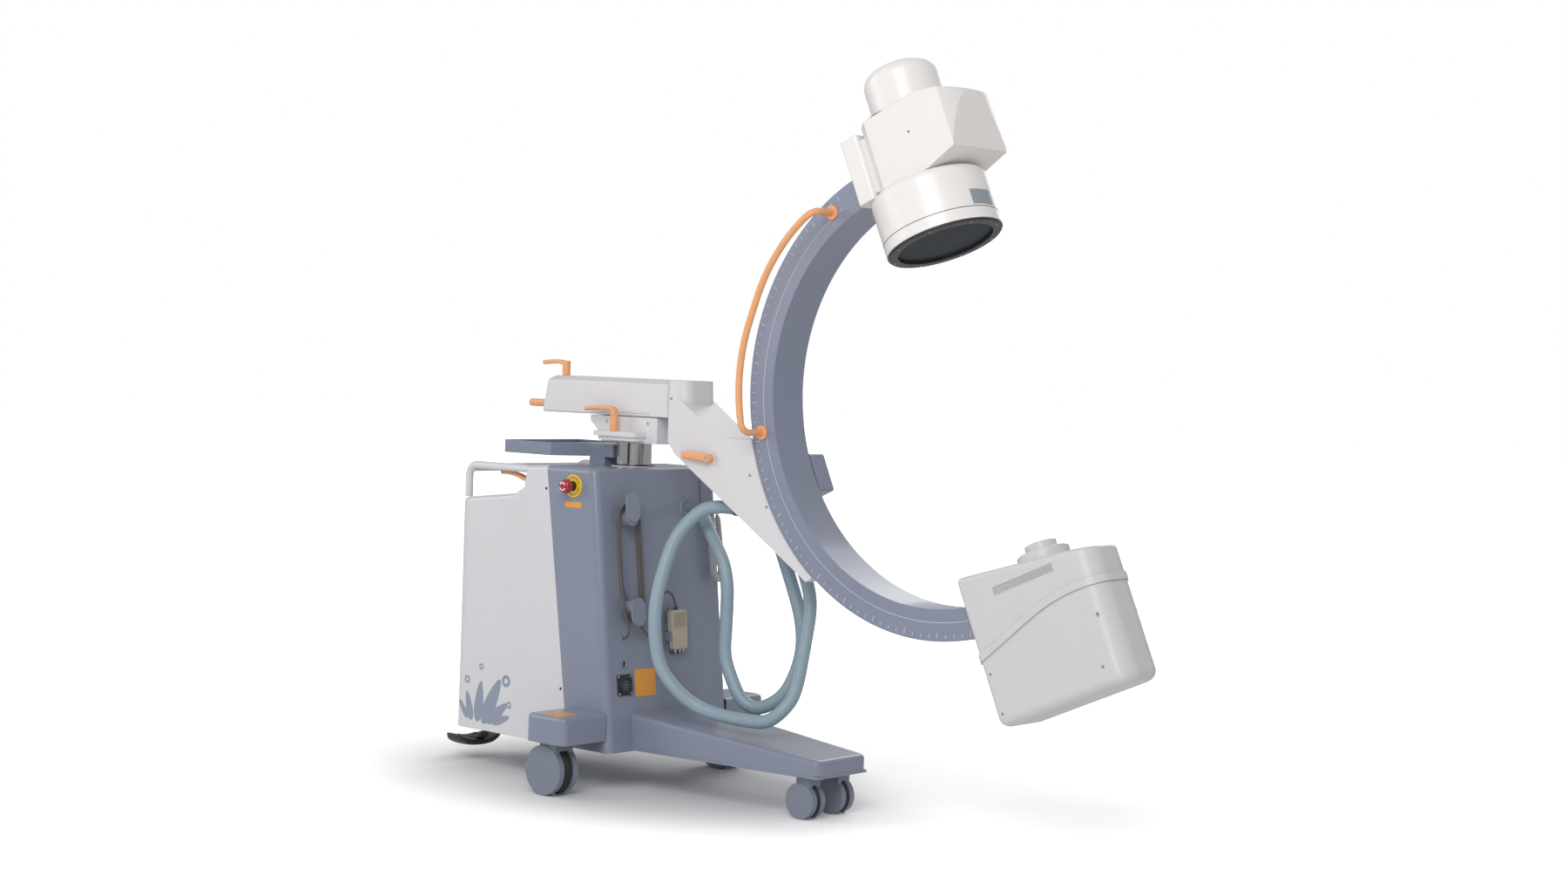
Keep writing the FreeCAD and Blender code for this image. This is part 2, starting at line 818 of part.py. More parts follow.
front_housing()
rear_cover()
base_frame()
leg_and_outrigger_covers()
for side, mark in (("right", "-"), ("left", "")):
    caster(
        f"rear_{side}_caster", "rear_caster_reach", f"{mark}rear_caster_offset", "rear_wheel_radius",
        "rear_caster_width", "rear_caster_trail", "beam_low",
    )
    caster(
        f"front_{side}_caster", "front_caster_reach", f"{mark}front_caster_offset", "front_wheel_radius",
        "front_caster_width", "front_caster_trail", "plate_height",
    )

# Column with its lift drive, the power unit and the tray

def column():
    """The fixed outer column, the chrome inner column that slides in it and the linear drive inside."""
    outer = Piece("outer_column")
    outer.pad(
        outer.discs("XY", [("0", "0", "guide_radius")], "plate_height + plate_thickness"),
        "collar_top - plate_height - plate_thickness",
        way=1,
    )
    outer.pocket(
        outer.discs("XY", [("0", "0", "column_radius + running_gap")], "collar_top"),
        "collar_top - plate_height - plate_thickness - 12",
        way=-1,
    )
    foot = outer.discs("XY", [("0", "0", "guide_radius + 24")], "plate_height + plate_thickness")
    outer.pad(foot, "12", way=1)
    inner = Piece("inner_column")
    inner.pad(
        inner.discs("XY", [("0", "0", "column_radius")], "column_foot"), "block_low - column_foot", way=1
    )
    inner.pad(inner.discs("XY", [("0", "0", "spigot_radius")], "block_low"), "spigot_height", way=1)
    inner.pocket(
        inner.discs("XY", [("0", "0", "column_bore")], "column_foot"), "block_low - column_foot - 30", way=1
    )
    tube = Piece("actuator_tube")
    tube.pad(
        tube.discs("XY", [("0", "0", "drive_radius")], "plate_height + plate_thickness + 12"),
        "drive_top - plate_height - plate_thickness - 12",
        way=1,
    )
    tube.pad(
        tube.discs("XY", [("0", "0", "drive_radius + 10")], "plate_height + plate_thickness + 12"),
        "60",
        way=1,
    )
    tube.pocket(
        tube.discs("XY", [("0", "0", "rod_radius + running_gap")], "drive_top"),
        "drive_top - rod_foot + 10",
        way=-1,
    )
    rod = Piece("actuator_rod")
    rod.pad(rod.discs("XY", [("0", "0", "rod_radius")], "rod_foot"), "block_low - 30 - rod_foot", way=1)


def power_unit():
    """The supply box under the rear cover, with a fan opening and cooling fins."""
    piece = Piece("power_unit")
    plan = piece.box_outline(
        "XY",
        "-power_rear",
        "-power_front",
        "-power_half_width",
        "power_half_width",
        "plate_height + plate_thickness",
    )
    piece.pad(plan, "power_height - plate_height - plate_thickness", way=1)
    piece.rounded("6", lambda edge: runs_along(edge, "z"))
    for index in range(5):
        shift = f"-power_rear + 40 + {index} * 55"
        fin = piece.box_outline("XZ", shift, f"{shift} + 14", "power_height - 30", "power_height + 1")
        piece.pocket(fin, "2 * power_half_width - 60")
    fan = piece.discs("YZ", [("0", "(plate_height + power_height) / 2", "60")], "-power_front")
    piece.pocket(fan, "24", way=-1)


def tray():
    """The shallow open tray behind the column, on a neck that stands on the body."""
    piece = Piece("tray")
    plan = [
        ("-tray_rear", "-tray_half_width"),
        ("-tray_front", "-tray_half_width"),
        ("-tray_front + 50", "-tray_neck_half"),
        ("-column_radius + 12", "-tray_neck_half"),
        ("-column_radius + 12", "tray_neck_half"),
        ("-tray_front + 50", "tray_neck_half"),
        ("-tray_front", "tray_half_width"),
        ("-tray_rear", "tray_half_width"),
    ]
    piece.pad(piece.outline("XY", plan, "tray_low"), "tray_high - tray_low", way=1)
    piece.rounded(
        "14",
        lambda edge: runs_along(edge, "z")
        and abs(edge.BoundBox.Center.y) > 100
        and edge.BoundBox.Center.x < -300,
    )
    plan = piece.box_outline(
        "XY",
        "-tray_rear + tray_rim",
        "-tray_front - tray_rim",
        "-tray_half_width + tray_rim",
        "tray_half_width - tray_rim",
        "tray_high + 1",
    )
    piece.pocket(plan, "tray_high - tray_low - tray_rim + 1", way=-1)
    block = piece.box_outline("XY", "-130", "-70", "-tray_neck_half", "tray_neck_half", "body_height")
    piece.pad(block, "tray_low - body_height + 1", way=1)
    bore = piece.discs("XY", [("0", "0", "column_radius + running_gap")], "tray_high + 1")
    piece.pocket(bore, "tray_high - tray_low + 2", way=-1)


# Swivel block on the lift column, its lever and the carriage that the arm slides on

def swivel_block():
    """The block that turns on the column's spigot, with the lever's shelf on the near side."""
    piece = Piece("swivel_block")
    profile = [
        ("-block_rear_foot", "block_low"),
        ("block_front", "block_low"),
        ("block_front", "block_high"),
        ("-block_rear", "block_high"),
        ("-block_rear", "block_high - 16"),
        ("-block_rear_foot - 3", "block_low + 21"),
    ]
    piece.pad(piece.outline("XZ", profile), "2 * block_half_width")
    plan = [
        ("-shelf_rear", "-block_half_width + 5"),
        ("-shelf_rear", "-shelf_half_width + 20"),
        ("-shelf_rear + 20", "-shelf_half_width", "20"),
        ("shelf_front - 20", "-shelf_half_width"),
        ("shelf_front", "-shelf_half_width + 20", "20"),
        ("shelf_front", "-block_half_width + 5"),
    ]
    piece.pad(piece.outline("XY", plan, "shelf_low"), "shelf_high - shelf_low", way=1)
    lower = [
        (f"{x} {'+ 12' if x[0] == '-' else '- 4'}", f"{y}{' + 7' if 'shelf' in y else ''}", *more)
        for x, y, *more in plan
    ]
    piece.pad(piece.outline("XY", lower, "shelf_low - 11"), "12", way=1)
    piece.pocket(
        piece.discs("XY", [("0", "0", "spigot_radius + running_gap")], "block_low"),
        "spigot_height + 4",
        way=1,
    )
    bolt = piece.discs(
        "XY", [("swivel_lever_reach", "-swivel_lever_offset", "lever_hub_radius / 2")], "shelf_high"
    )
    piece.pad(bolt, "20", way=1)


def swivel_lever():
    """The bent brake lever of the swivel, on a pin in the shelf."""
    piece = Piece("swivel_lever")
    hub = [("swivel_lever_reach", "-swivel_lever_offset", "lever_hub_radius")]
    piece.pad(piece.discs("XY", hub, "shelf_high + running_gap"), "swivel_lever_height - shelf_high", way=1)
    rear = "swivel_lever_reach - swivel_lever_length"
    arm = [
        ("swivel_lever_reach", "-swivel_lever_offset - 8"),
        ("swivel_lever_reach", "-swivel_lever_offset + 8"),
        (rear, "-swivel_lever_offset + 6"),
        (rear, "-swivel_lever_offset - 6", "-6.01"),
    ]
    piece.pad(piece.outline("XY", arm, "swivel_lever_height"), "lever_thickness", way=-1)
    bore = [("swivel_lever_reach", "-swivel_lever_offset", "lever_hub_radius / 2 + running_gap")]
    piece.pocket(piece.discs("XY", bore, "shelf_high"), "20 + 2", way=1)


def slide_carriage():
    """The carriage inside the arm, on a neck bolted to the swivel block, bored for the two rails."""
    piece = Piece("slide_carriage")
    neck = piece.box_outline(
        "XY",
        "-carriage_neck_length",
        "carriage_neck_length",
        "-carriage_neck_half",
        "carriage_neck_half",
        "block_high",
    )
    piece.pad(neck, "carriage_low - block_high + 1", way=1)
    head = piece.box_outline(
        "XY",
        "-carriage_half_length",
        "carriage_half_length",
        "-carriage_half_width",
        "carriage_half_width",
        "carriage_low",
    )
    piece.pad(head, "carriage_high - carriage_low", way=1)
    piece.rounded(
        "4", lambda edge: runs_along(edge, "z") and edge.BoundBox.ZMax > value("carriage_high") - 1
    )
    rails = [(f"{mark}rail_offset", "rail_height", "rail_radius + running_gap") for mark in ("-", "")]
    piece.pocket(piece.discs("YZ", rails), "2 * carriage_half_length + 20")


column()
power_unit()
tray()
swivel_block()
swivel_lever()
slide_carriage()

# Arm that slides out over the carriage, with its rails, locks and the pivot shaft

def arm():
    """The arm's box section, its two rails, the rear grip and the lock lever on top."""
    piece = Piece("arm_housing")
    section = [
        ("-arm_half_width", "arm_low"),
        ("arm_half_width", "arm_low"),
        ("arm_half_width", "arm_shoulder"),
        ("arm_crown_half", "arm_high"),
        ("-arm_crown_half", "arm_high"),
        ("-arm_half_width", "arm_shoulder"),
    ]
    piece.pad(piece.outline("YZ", section, "-arm_rear_low"), "arm_rear_low + arm_front", way=1)
    slant = [
        ("-arm_rear_low", "arm_low"),
        ("-arm_rear_top", "arm_high"),
        ("-arm_rear_top", "arm_high + 5"),
        ("-arm_rear_low - 5", "arm_high + 5"),
        ("-arm_rear_low - 5", "arm_low"),
    ]
    piece.pocket(piece.outline("XZ", slant), "2 * arm_half_width + 10")
    piece.rounded(
        "5",
        lambda edge: runs_along(edge, "x")
        or (runs_along(edge, "y") and edge.BoundBox.XMax < value("-arm_rear_top") + 1),
    )
    cavity = piece.box_outline(
        "XZ", "-arm_cavity_rear", "bulkhead_rear", "arm_low + arm_wall", "arm_shoulder - arm_wall + 4"
    )
    piece.pocket(cavity, "2 * (arm_half_width - arm_wall)")
    slot = piece.box_outline(
        "XY", "-slot_rear", "slot_front", "-carriage_neck_half - 1", "carriage_neck_half + 1", "arm_low - 1"
    )
    piece.pocket(slot, "arm_wall + 2", way=1)
    shaft = piece.discs("YZ", [("0", "pivot_height", "shaft_radius + running_gap")], "arm_front + 1")
    piece.pocket(shaft, "arm_front - bulkhead_rear + 2", way=-1)
    pin = piece.discs("YZ", [("0", "grip_height", "grip_pin_radius + running_gap")], "-arm_rear_low - 1")
    piece.pocket(pin, "24", way=1)
    post = [("-lock_lever_reach", "-lock_lever_offset", "lever_hub_radius / 2")]
    piece.pad(piece.discs("XY", post, "arm_high - 1"), "20", way=1)
    rails = Piece("arm_rails")
    bars = [(f"{mark}rail_offset", "rail_height", "rail_radius") for mark in ("-", "")]
    rails.pad(rails.discs("YZ", bars, "-arm_cavity_rear"), "arm_cavity_rear + bulkhead_rear", way=1)
    grip = Piece("arm_rear_grip")
    grip.pad(
        grip.discs("YZ", [("0", "grip_height", "grip_radius")], "-arm_rear_low + 1"),
        "grip_end - arm_rear_low + 1",
        way=-1,
    )
    grip.rounded("5", lambda edge: at(edge, x="-grip_end"))
    grip.pad(grip.discs("YZ", [("0", "grip_height", "grip_pin_radius")], "-arm_rear_low + 1"), "16", way=1)
    lever = Piece("arm_lock_lever")
    hub = [("-lock_lever_reach", "-lock_lever_offset", "lever_hub_radius")]
    lever.pad(
        lever.discs("XY", hub, "arm_high + running_gap"),
        "(arm_high + lock_lever_rise) - arm_high - running_gap",
        way=1,
    )
    tip = "(-lock_lever_reach - lock_lever_length)"
    side = [
        ("-lock_lever_reach", "(arm_high + lock_lever_rise) - lever_thickness"),
        ("-lock_lever_reach", "(arm_high + lock_lever_rise)"),
        (f"{tip} + 18", "(arm_high + lock_lever_rise)"),
        (tip, "(arm_high + lock_lever_rise) - 18"),
        (f"{tip} + 6", "(arm_high + lock_lever_rise) - 24"),
        (f"{tip} + 24", "(arm_high + lock_lever_rise) - lever_thickness"),
    ]
    lever.pad(lever.outline("XZ", side, "-lock_lever_offset"), "16")
    bore = [("-lock_lever_reach", "-lock_lever_offset", "lever_hub_radius / 2 + running_gap")]
    lever.pocket(lever.discs("XY", bore, "arm_high"), "20", way=1)


def pivot_shaft():
    """The shaft that the bracket turns on, kept in the arm by its collar."""
    piece = Piece("pivot_shaft")
    gap = "arm_front + flange_gap"
    piece.pad(
        piece.discs("YZ", [("0", "pivot_height", "shaft_radius")], "shaft_rear"),
        f"{gap} - shaft_rear",
        way=1,
    )
    flange = piece.discs("YZ", [("0", "pivot_height", "flange_radius")], gap)
    piece.pad(flange, "flange_gap - running_gap", way=-1)
    collar = piece.discs("YZ", [("0", "pivot_height", "shaft_radius + 9")], "bulkhead_rear - running_gap")
    piece.pad(collar, "14", way=-1)


# Bracket, rollers and arc

def polar(radius, angle):
    """A place at a radius and an angle about the arc's centre, in the cart's frame."""
    return f"arc_reach + ({radius}) * cos({angle})", f"arc_height + ({radius}) * sin({angle})"


ROLLER_ORBIT = "arc_radius - arc_wall - roller_radius - running_gap"


def bracket():
    """The cast bracket, cut to the arc, whose tongue reaches through the arc's slot to the rollers."""
    piece = Piece("c_bracket")
    back = "arm_front + flange_gap"
    profile = [
        (back, "bracket_heel_height + 31"),
        ("bracket_heel_reach", "bracket_heel_height"),
        ("bracket_tip_reach", "bracket_tip_height"),
        ("bracket_tip_reach + 41", "bracket_tip_height + 26"),
        ("bracket_shoulder_reach + 146", "bracket_shoulder_height"),
        ("bracket_shoulder_reach", "bracket_shoulder_height"),
        ("bracket_neck + 34", "arm_low + 18"),
        ("bracket_neck + 4", "arm_low + 38"),
        ("bracket_neck", "arm_high"),
        (back, "arm_high"),
    ]
    piece.pad(piece.outline("XZ", profile), "2 * bracket_half_width")
    piece.rounded(
        "34", lambda edge: abs(edge.BoundBox.Center.y) > 60 and edge.BoundBox.ZMin > value("arm_low + 30")
        and edge.BoundBox.XMin > value(back) + 1,
    )
    piece.pocket(
        piece.discs("XZ", [("arc_reach", "arc_height", "arc_radius + arc_gap")]),
        "2 * bracket_half_width + 10",
    )
    inner, outer = f"{ROLLER_ORBIT} - 20", "arc_radius + arc_gap + 6"
    first, last = "upper_roller_angle - 3.5", "lower_roller_angle + 3.5"
    tongue = [
        polar(inner, first),
        (*polar(inner, last), f"({inner})"),
        polar(outer, last),
        (*polar(outer, first), f"-({outer})"),
    ]
    piece.pad(piece.outline("XZ", tongue), "2 * tongue_half")
    for angle in ("upper_roller_angle", "lower_roller_angle"):
        axle = piece.discs("XZ", [(*polar(ROLLER_ORBIT, angle), "roller_axle_radius")])
        piece.pad(axle, "2 * (tongue_half + roller_width + 2)")
    post = piece.discs("XZ", [("orbit_lever_reach", "orbit_lever_height", "lever_hub_radius / 2")])
    piece.pad(post, "bracket_half_width + 20", way=-1)
    for name, angle in (("roller_upper", "upper_roller_angle"), ("roller_lower", "lower_roller_angle")):
        roller = Piece(name)
        centre = polar(ROLLER_ORBIT, angle)
        roller.pad(roller.discs("XZ", [(*centre, "roller_radius")]), "2 * (tongue_half + roller_width + 1)")
        roller.pocket(roller.discs("XZ", [(*centre, "roller_radius + 4")]), "2 * (tongue_half + 1)")
        roller.pocket(
            roller.discs("XZ", [(*centre, "roller_axle_radius + running_gap")]), "4 * roller_width + 40"
        )


def orbit_lock_lever():
    """The flat orange lever on the bracket's near side that locks the arc."""
    piece = Piece("orbit_lock_lever")
    face = "-bracket_half_width - running_gap"
    hub = piece.discs("XZ", [("orbit_lever_reach", "orbit_lever_height", "orbit_lever_width / 2 + 3")], face)
    piece.pad(hub, "22", way=-1)
    tip = "orbit_lever_reach - orbit_lever_length"
    half = "orbit_lever_width / 2"
    bar = [
        ("orbit_lever_reach", f"orbit_lever_height - {half}"),
        ("orbit_lever_reach", f"orbit_lever_height + {half}"),
        (f"{tip} + 6", f"orbit_lever_height + {half} + 5"),
        (tip, f"orbit_lever_height + {half} - 2"),
        (tip, f"orbit_lever_height - {half} + 3"),
    ]
    piece.pad(piece.outline("XZ", bar, f"{face} - 8"), "14", way=-1)
    piece.rounded(
        "3", lambda edge: edge.BoundBox.YMax < value(f"{face} - 21.5") and edge.BoundBox.YLength < 0.1
    )
    bore = [("orbit_lever_reach", "orbit_lever_height", "lever_hub_radius / 2 + running_gap")]
    piece.pocket(piece.discs("XZ", bore, f"{face} + 1"), "21", way=-1)


def c_arc():
    """The curved channel: closed inside, with a slot in its outer face for the bracket's tongue."""
    piece = Piece("c_arc", ARC)
    outer, inner = "-arc_radius", "-arc_radius + arc_depth"
    skin, floor = "-arc_radius + arc_wall", "-arc_radius + arc_depth - arc_wall"
    half, cheek = "arc_width / 2", "arc_width / 2 - arc_wall"
    section = [
        (outer, f"-{half}"),
        (outer, "-arc_slot_half"),
        (skin, "-arc_slot_half"),
        (skin, f"-({cheek})"),
        (floor, f"-({cheek})"),
        (floor, cheek),
        (skin, cheek),
        (skin, "arc_slot_half"),
        (outer, "arc_slot_half"),
        (outer, half),
        (inner, half),
        (inner, f"-{half}"),
    ]
    ring = piece.outline("XY", section)
    piece.add("Revolution", Profile=ring, ReferenceAxis=(ring, ["V_Axis"]), Angle="180", Midplane=True)
    ends = piece.box_outline("XZ", "arc_end", "arc_radius + 10", "-arc_radius - 10", "arc_radius + 10")
    piece.pocket(ends, "arc_width + 10")
    low_end = piece.box_outline("XZ", "head_rear", "0", "-arc_radius - 10", "0")
    piece.pocket(low_end, "arc_width + 10")


arm()
pivot_shaft()
bracket()
orbit_lock_lever()
c_arc()

# Image intensifier, turned about the beam axis

def intensifier():
    """The drum with its ring, window and tube, the housing above it and the camera cover on top."""
    drum = Piece("ii_drum", BEAM)
    wall, bend = "drum_wall", "18"
    section = [
        ("lip_radius", "drum_low"),
        ("drum_radius", "drum_low"),
        ("drum_radius", f"drum_high - {bend}"),
        (f"drum_radius - {bend}", "drum_high", bend),
        ("105", "drum_high"),
        ("105", f"drum_high - {wall}"),
        (f"drum_radius - {bend}", f"drum_high - {wall}"),
        (f"drum_radius - {wall}", f"drum_high - {bend}", f"-({bend} - {wall})"),
        (f"drum_radius - {wall}", f"drum_low + {wall}"),
        ("lip_radius", f"drum_low + {wall}"),
    ]
    drum.turned(drum.outline("XZ", section))
    ring = Piece("ii_trim_ring", BEAM)
    section = [
        ("ring_inner", "drum_low - ring_depth"),
        ("drum_radius - 5", "drum_low - ring_depth"),
        ("drum_radius - 2", "drum_low - ring_depth / 2"),
        ("drum_radius - 2", "drum_low"),
        ("ring_inner", "drum_low"),
    ]
    ring.turned(ring.outline("XZ", section))
    window = Piece("ii_window", BEAM)
    disc = window.discs("XY", [("0", "0", "lip_radius - running_gap")], "drum_low + 1")
    window.pad(disc, "8", way=1)
    tube = Piece("intensifier_tube", BEAM)
    section = [
        ("0", "drum_low + 11"),
        ("drum_radius - drum_wall - 0.5", "drum_low + 11"),
        ("drum_radius - drum_wall - 0.5", "drum_low + 18"),
        ("drum_radius - 25", "drum_low + 18"),
        ("drum_radius - 25", "drum_low + 68"),
        ("78", "drum_high + 27"),
        ("78", "housing_high - 19"),
        ("0", "housing_high - 19"),
    ]
    tube.turned(tube.outline("XZ", section))
    housing = Piece("ii_housing_side", BEAM, keep=False)
    profile = [
        ("-housing_rear", "drum_high"),
        ("91", "drum_high"),
        ("housing_front_low + 8", "housing_chin"),
        ("housing_front_high + 8", "housing_brow"),
        ("118", "housing_high"),
        ("-housing_rear", "housing_high"),
    ]
    housing.pad(housing.outline("XZ", profile), "2 * housing_half_width")
    housing.bevelled("38", lambda edge: runs_along(edge, "z") and at(edge, x="-housing_rear"))
    inside = housing.discs("XY", [("0", "0", "105")], "drum_high - 1")
    housing.pocket(inside, "housing_high - drum_high - drum_wall + 1", way=1)
    plan = Piece("ii_housing_plan", BEAM, keep=False)
    bulge = [
        ("-housing_rear - 1", "-housing_half_width"),
        ("housing_corner", "-housing_half_width"),
        ("housing_corner", "housing_half_width", "housing_bulge"),
        ("-housing_rear - 1", "housing_half_width"),
    ]
    plan.pad(plan.outline("XY", bulge, "drum_high - 1"), "housing_high - drum_high + 2", way=1)
    group("ii_housing", [housing.body, plan.body], "Part::MultiCommon")
    camera = Piece("ii_camera_cover", BEAM)
    disc = [("camera_shift", "0", "camera_radius")]
    camera.pad(camera.discs("XY", disc, "housing_high"), "camera_high - housing_high", way=1)
    camera.rounded("34", lambda edge: edge.BoundBox.ZMin > value("camera_high") - 1)
    inside = camera.discs("XY", [("camera_shift", "0", "camera_radius - 4")], "housing_high - 1")
    camera.pocket(inside, "camera_high - housing_high - 34", way=1)
    mount = Piece("ii_mount", ARC)
    block = mount.box_outline("XZ", "arc_end", "mount_front", "mount_low", "mount_high")
    mount.pad(block, "2 * mount_half_width")
    mount.rounded("10", lambda edge: runs_along(edge, "z"))
    neck = mount.box_outline(
        "XZ", "mount_front - 12", "beam_reach - housing_rear", "mount_low + 14", "mount_high - 14"
    )
    mount.pad(neck, "2 * mount_half_width - 32")


# Tube head at the lower end of the arc

def head_form(name, points, inset, outset="0"):
    """A form with the head's plan, set in or out, between the lines that points give."""
    form = Piece(name, ARC, keep=False)
    form.pad(form.outline("XZ", points), f"2 * (head_half_width - {inset} + {outset})")
    front, rear = f"head_front - {inset} + {outset}", f"head_rear + {inset} - {outset}"
    form.rounded(
        f"head_front_rounding - {inset} + {outset}", lambda edge: runs_along(edge, "z") and at(edge, x=front)
    )
    form.rounded(
        f"head_rear_rounding - {inset} + {outset}", lambda edge: runs_along(edge, "z") and at(edge, x=rear)
    )
    return form


def split_line(lift, outset="0", back=False):
    """The line where base and cover meet, raised by lift: a slope, an arc and a level end."""
    slope = "(split_knee - split_rear) / (split_bend - head_rear)"
    start = (f"head_rear - {outset}", f"split_rear - {outset} * {slope} + {lift}")
    knee, crest = ("split_bend", f"split_knee + {lift}"), ("split_crest", f"split_front + {lift}")
    end = (f"head_front + {outset}", f"split_front + {lift}")
    if back:
        return [end, crest, (*knee, "split_radius"), start]
    return [start, knee, (*crest, "-split_radius"), end]


def tube_head():
    """The base and the vented cover of the tube head, with the tube and generator block inside."""
    low = [("head_front", "head_low"), ("head_rear", "head_low")]
    base = head_form("tube_base_form", [*split_line("0"), *low], "0")
    base.rounded("head_rounding", lambda edge: edge.BoundBox.ZMax < value("head_low") + 1)
    wall = "head_wall"
    low = [(f"head_front - {wall}", f"head_low + {wall}"), (f"head_rear + {wall}", f"head_low + {wall}")]
    core = head_form("tube_base_core", [*split_line("5", f"(-{wall})"), *low], wall)
    core.rounded(
        f"head_rounding - {wall}", lambda edge: edge.BoundBox.ZMax < value(f"head_low + {wall}") + 1
    )
    difference("tube_base", base.body, core.body)
    high = [("head_front", "head_top_front"), ("head_rear", "head_top_rear")]
    cover = head_form("tube_cover_form", [*split_line("0"), *high], "0")
    cover.rounded("head_rounding / 2", lambda edge: edge.BoundBox.ZMin > value("head_top_front") - 1)
    flange = cover.discs("XY", [("beam_reach", "0", "port_flange_radius")], "head_top_front - 10")
    cover.pad(flange, "port_flange_high - head_top_front + 10", way=1)
    port = cover.discs("XY", [("beam_reach", "0", "port_radius")], "head_top_front - 10")
    cover.pad(port, "port_high - head_top_front + 10", way=1)
    port = cover.discs("XY", [("beam_reach", "0", "port_radius - 12")], "port_high")
    cover.pocket(port, "6", way=-1)
    lower = split_line("0", "band_proud")
    upper = split_line("band_height", "band_proud", back=True)
    band = head_form("tube_band_form", [*lower, *upper], "0", "band_proud")
    high = [
        (f"head_front - {wall}", f"head_top_front - {wall}"),
        (f"head_rear + {wall}", f"head_top_rear - {wall}"),
    ]
    core = head_form("tube_cover_core", [*split_line("-5", f"(-{wall})"), *high], wall)
    core.rounded(
        f"head_rounding / 2 - {wall}",
        lambda edge: edge.BoundBox.ZMin > value(f"head_top_front - {wall}") - 1,
    )
    whole = group("tube_cover_whole", [cover.body, band.body], "Part::MultiFuse")
    nodes.pop("tube_cover_whole")
    slots = Piece("tube_cover_slots", ARC, keep=False)
    slot = slots.box_outline(
        "XZ",
        "vent_start",
        "vent_start + vent_width",
        "vent_middle - vent_length / 2",
        "vent_middle + vent_length / 2",
    )
    first = slots.pad(slot, "2 * head_half_width + 20")
    row = slots.body.newObject("PartDesign::LinearPattern", "tube_cover_slots_row")
    row.Originals = [first]
    row.Direction = ([item for item in slots.body.Origin.OriginFeatures if item.Role == "X_Axis"][0], [""])
    slots.body.Tip = row
    row.setExpression("Length", bound("vent_pitch * (vent_count - 1)"))
    row.setExpression("Occurrences", bound("vent_count"))
    doc.recompute()
    inside = group("tube_cover_cuts", [core.body, slots.body], "Part::Compound")
    nodes.pop("tube_cover_cuts")
    difference("tube_cover", whole, inside)
    block = Piece("tube_monoblock", ARC)
    sides = block.box_outline("XZ", "10", "head_front - 80", "head_low + head_wall", "-560")
    block.pad(sides, "2 * (head_half_width - head_rounding - 2)")
    block.rounded("20", lambda edge: runs_along(edge, "z"))
    block.pad(block.discs("XY", [("beam_reach", "0", "44")], "-561"), "51", way=1)


intensifier()
tube_head()

# Tubes along a route: straight runs joined by arcs that touch both

def route_edges(points, radii=None):
    """The edges of a route and the radii of its arcs, the usual ones or those given."""
    edges, used = [], []
    start = points[0]
    for index in range(1, len(points) - 1):
        back = (points[index - 1] - points[index])
        ahead = (points[index + 1] - points[index])
        half_turn = (math.pi - back.getAngle(ahead)) / 2
        radius = 0.45 * min(back.Length, ahead.Length) / math.tan(half_turn)
        if radii:
            radius = radii[index - 1]
        cut = radius * math.tan(half_turn)
        back.normalize()
        ahead.normalize()
        first, last = points[index] + back * cut, points[index] + ahead * cut
        middle = points[index] + (back + ahead).normalize() * (radius / math.cos(half_turn) - radius)
        edges += [Part.LineSegment(start, first).toShape(), Part.Arc(first, middle, last).toShape()]
        used.append(radius)
        start = last
    edges.append(Part.LineSegment(start, points[-1]).toShape())
    return edges, used


def tube(name, texts, radius, frame=CART, radii=None, keep=True):
    """A round solid along a route, whose volume is held against section times length."""
    points = [Vector(*(value(str(text)) for text in point)) for point in texts]
    edges, used = route_edges(points, [value(text) for text in radii] if radii else None)
    section = Part.Wire(Part.Circle(points[0], points[1] - points[0], value(radius)).toShape())
    shell = Part.BRepOffsetAPI.MakePipeShell(Part.Wire(edges))
    shell.add(section)
    shell.build()
    shell.makeSolid()
    item = doc.addObject("Part::Feature", name)
    item.Label = name
    item.Shape = shell.shape()
    set_frame(item, frame)
    doc.recompute()
    whole = math.pi * value(radius) ** 2 * sum(edge.Length for edge in edges)
    print(f"{name}: least radius {min(used):.0f} mm, volume ratio {item.Shape.Volume / whole:.4f}")
    if keep:
        nodes[name] = item
    return item


# Handles

def push_handle():
    """The two bent side tubes at the rear of the body and the bar between them."""
    members = []
    hump = "-hump_reach - 3.2"
    for mark, name in (("-", "right"), ("", "left")):
        route = [
            (hump, f"{mark}push_offset", "(body_height - push_drop)"),
            ("-push_rear", f"{mark}push_offset", "(body_height - push_drop)"),
            ("-push_rear", f"{mark}push_offset", "(body_height - deck_rear_drop) + 4.2"),
        ]
        members.append(tube(f"push_{name}_bar", route, "push_tube_radius", radii=["push_bend"], keep=False))
    bar = Piece("push_cross_bar", keep=False)
    level = "(body_height - push_drop)"
    centre = [("-push_rear + push_bend * 0.293", f"{level} - push_bend * 0.293", "push_tube_radius")]
    bar.pad(bar.discs("XZ", centre), "2 * push_offset")
    group("push_handle", [*members, bar.body], "Part::MultiFuse")


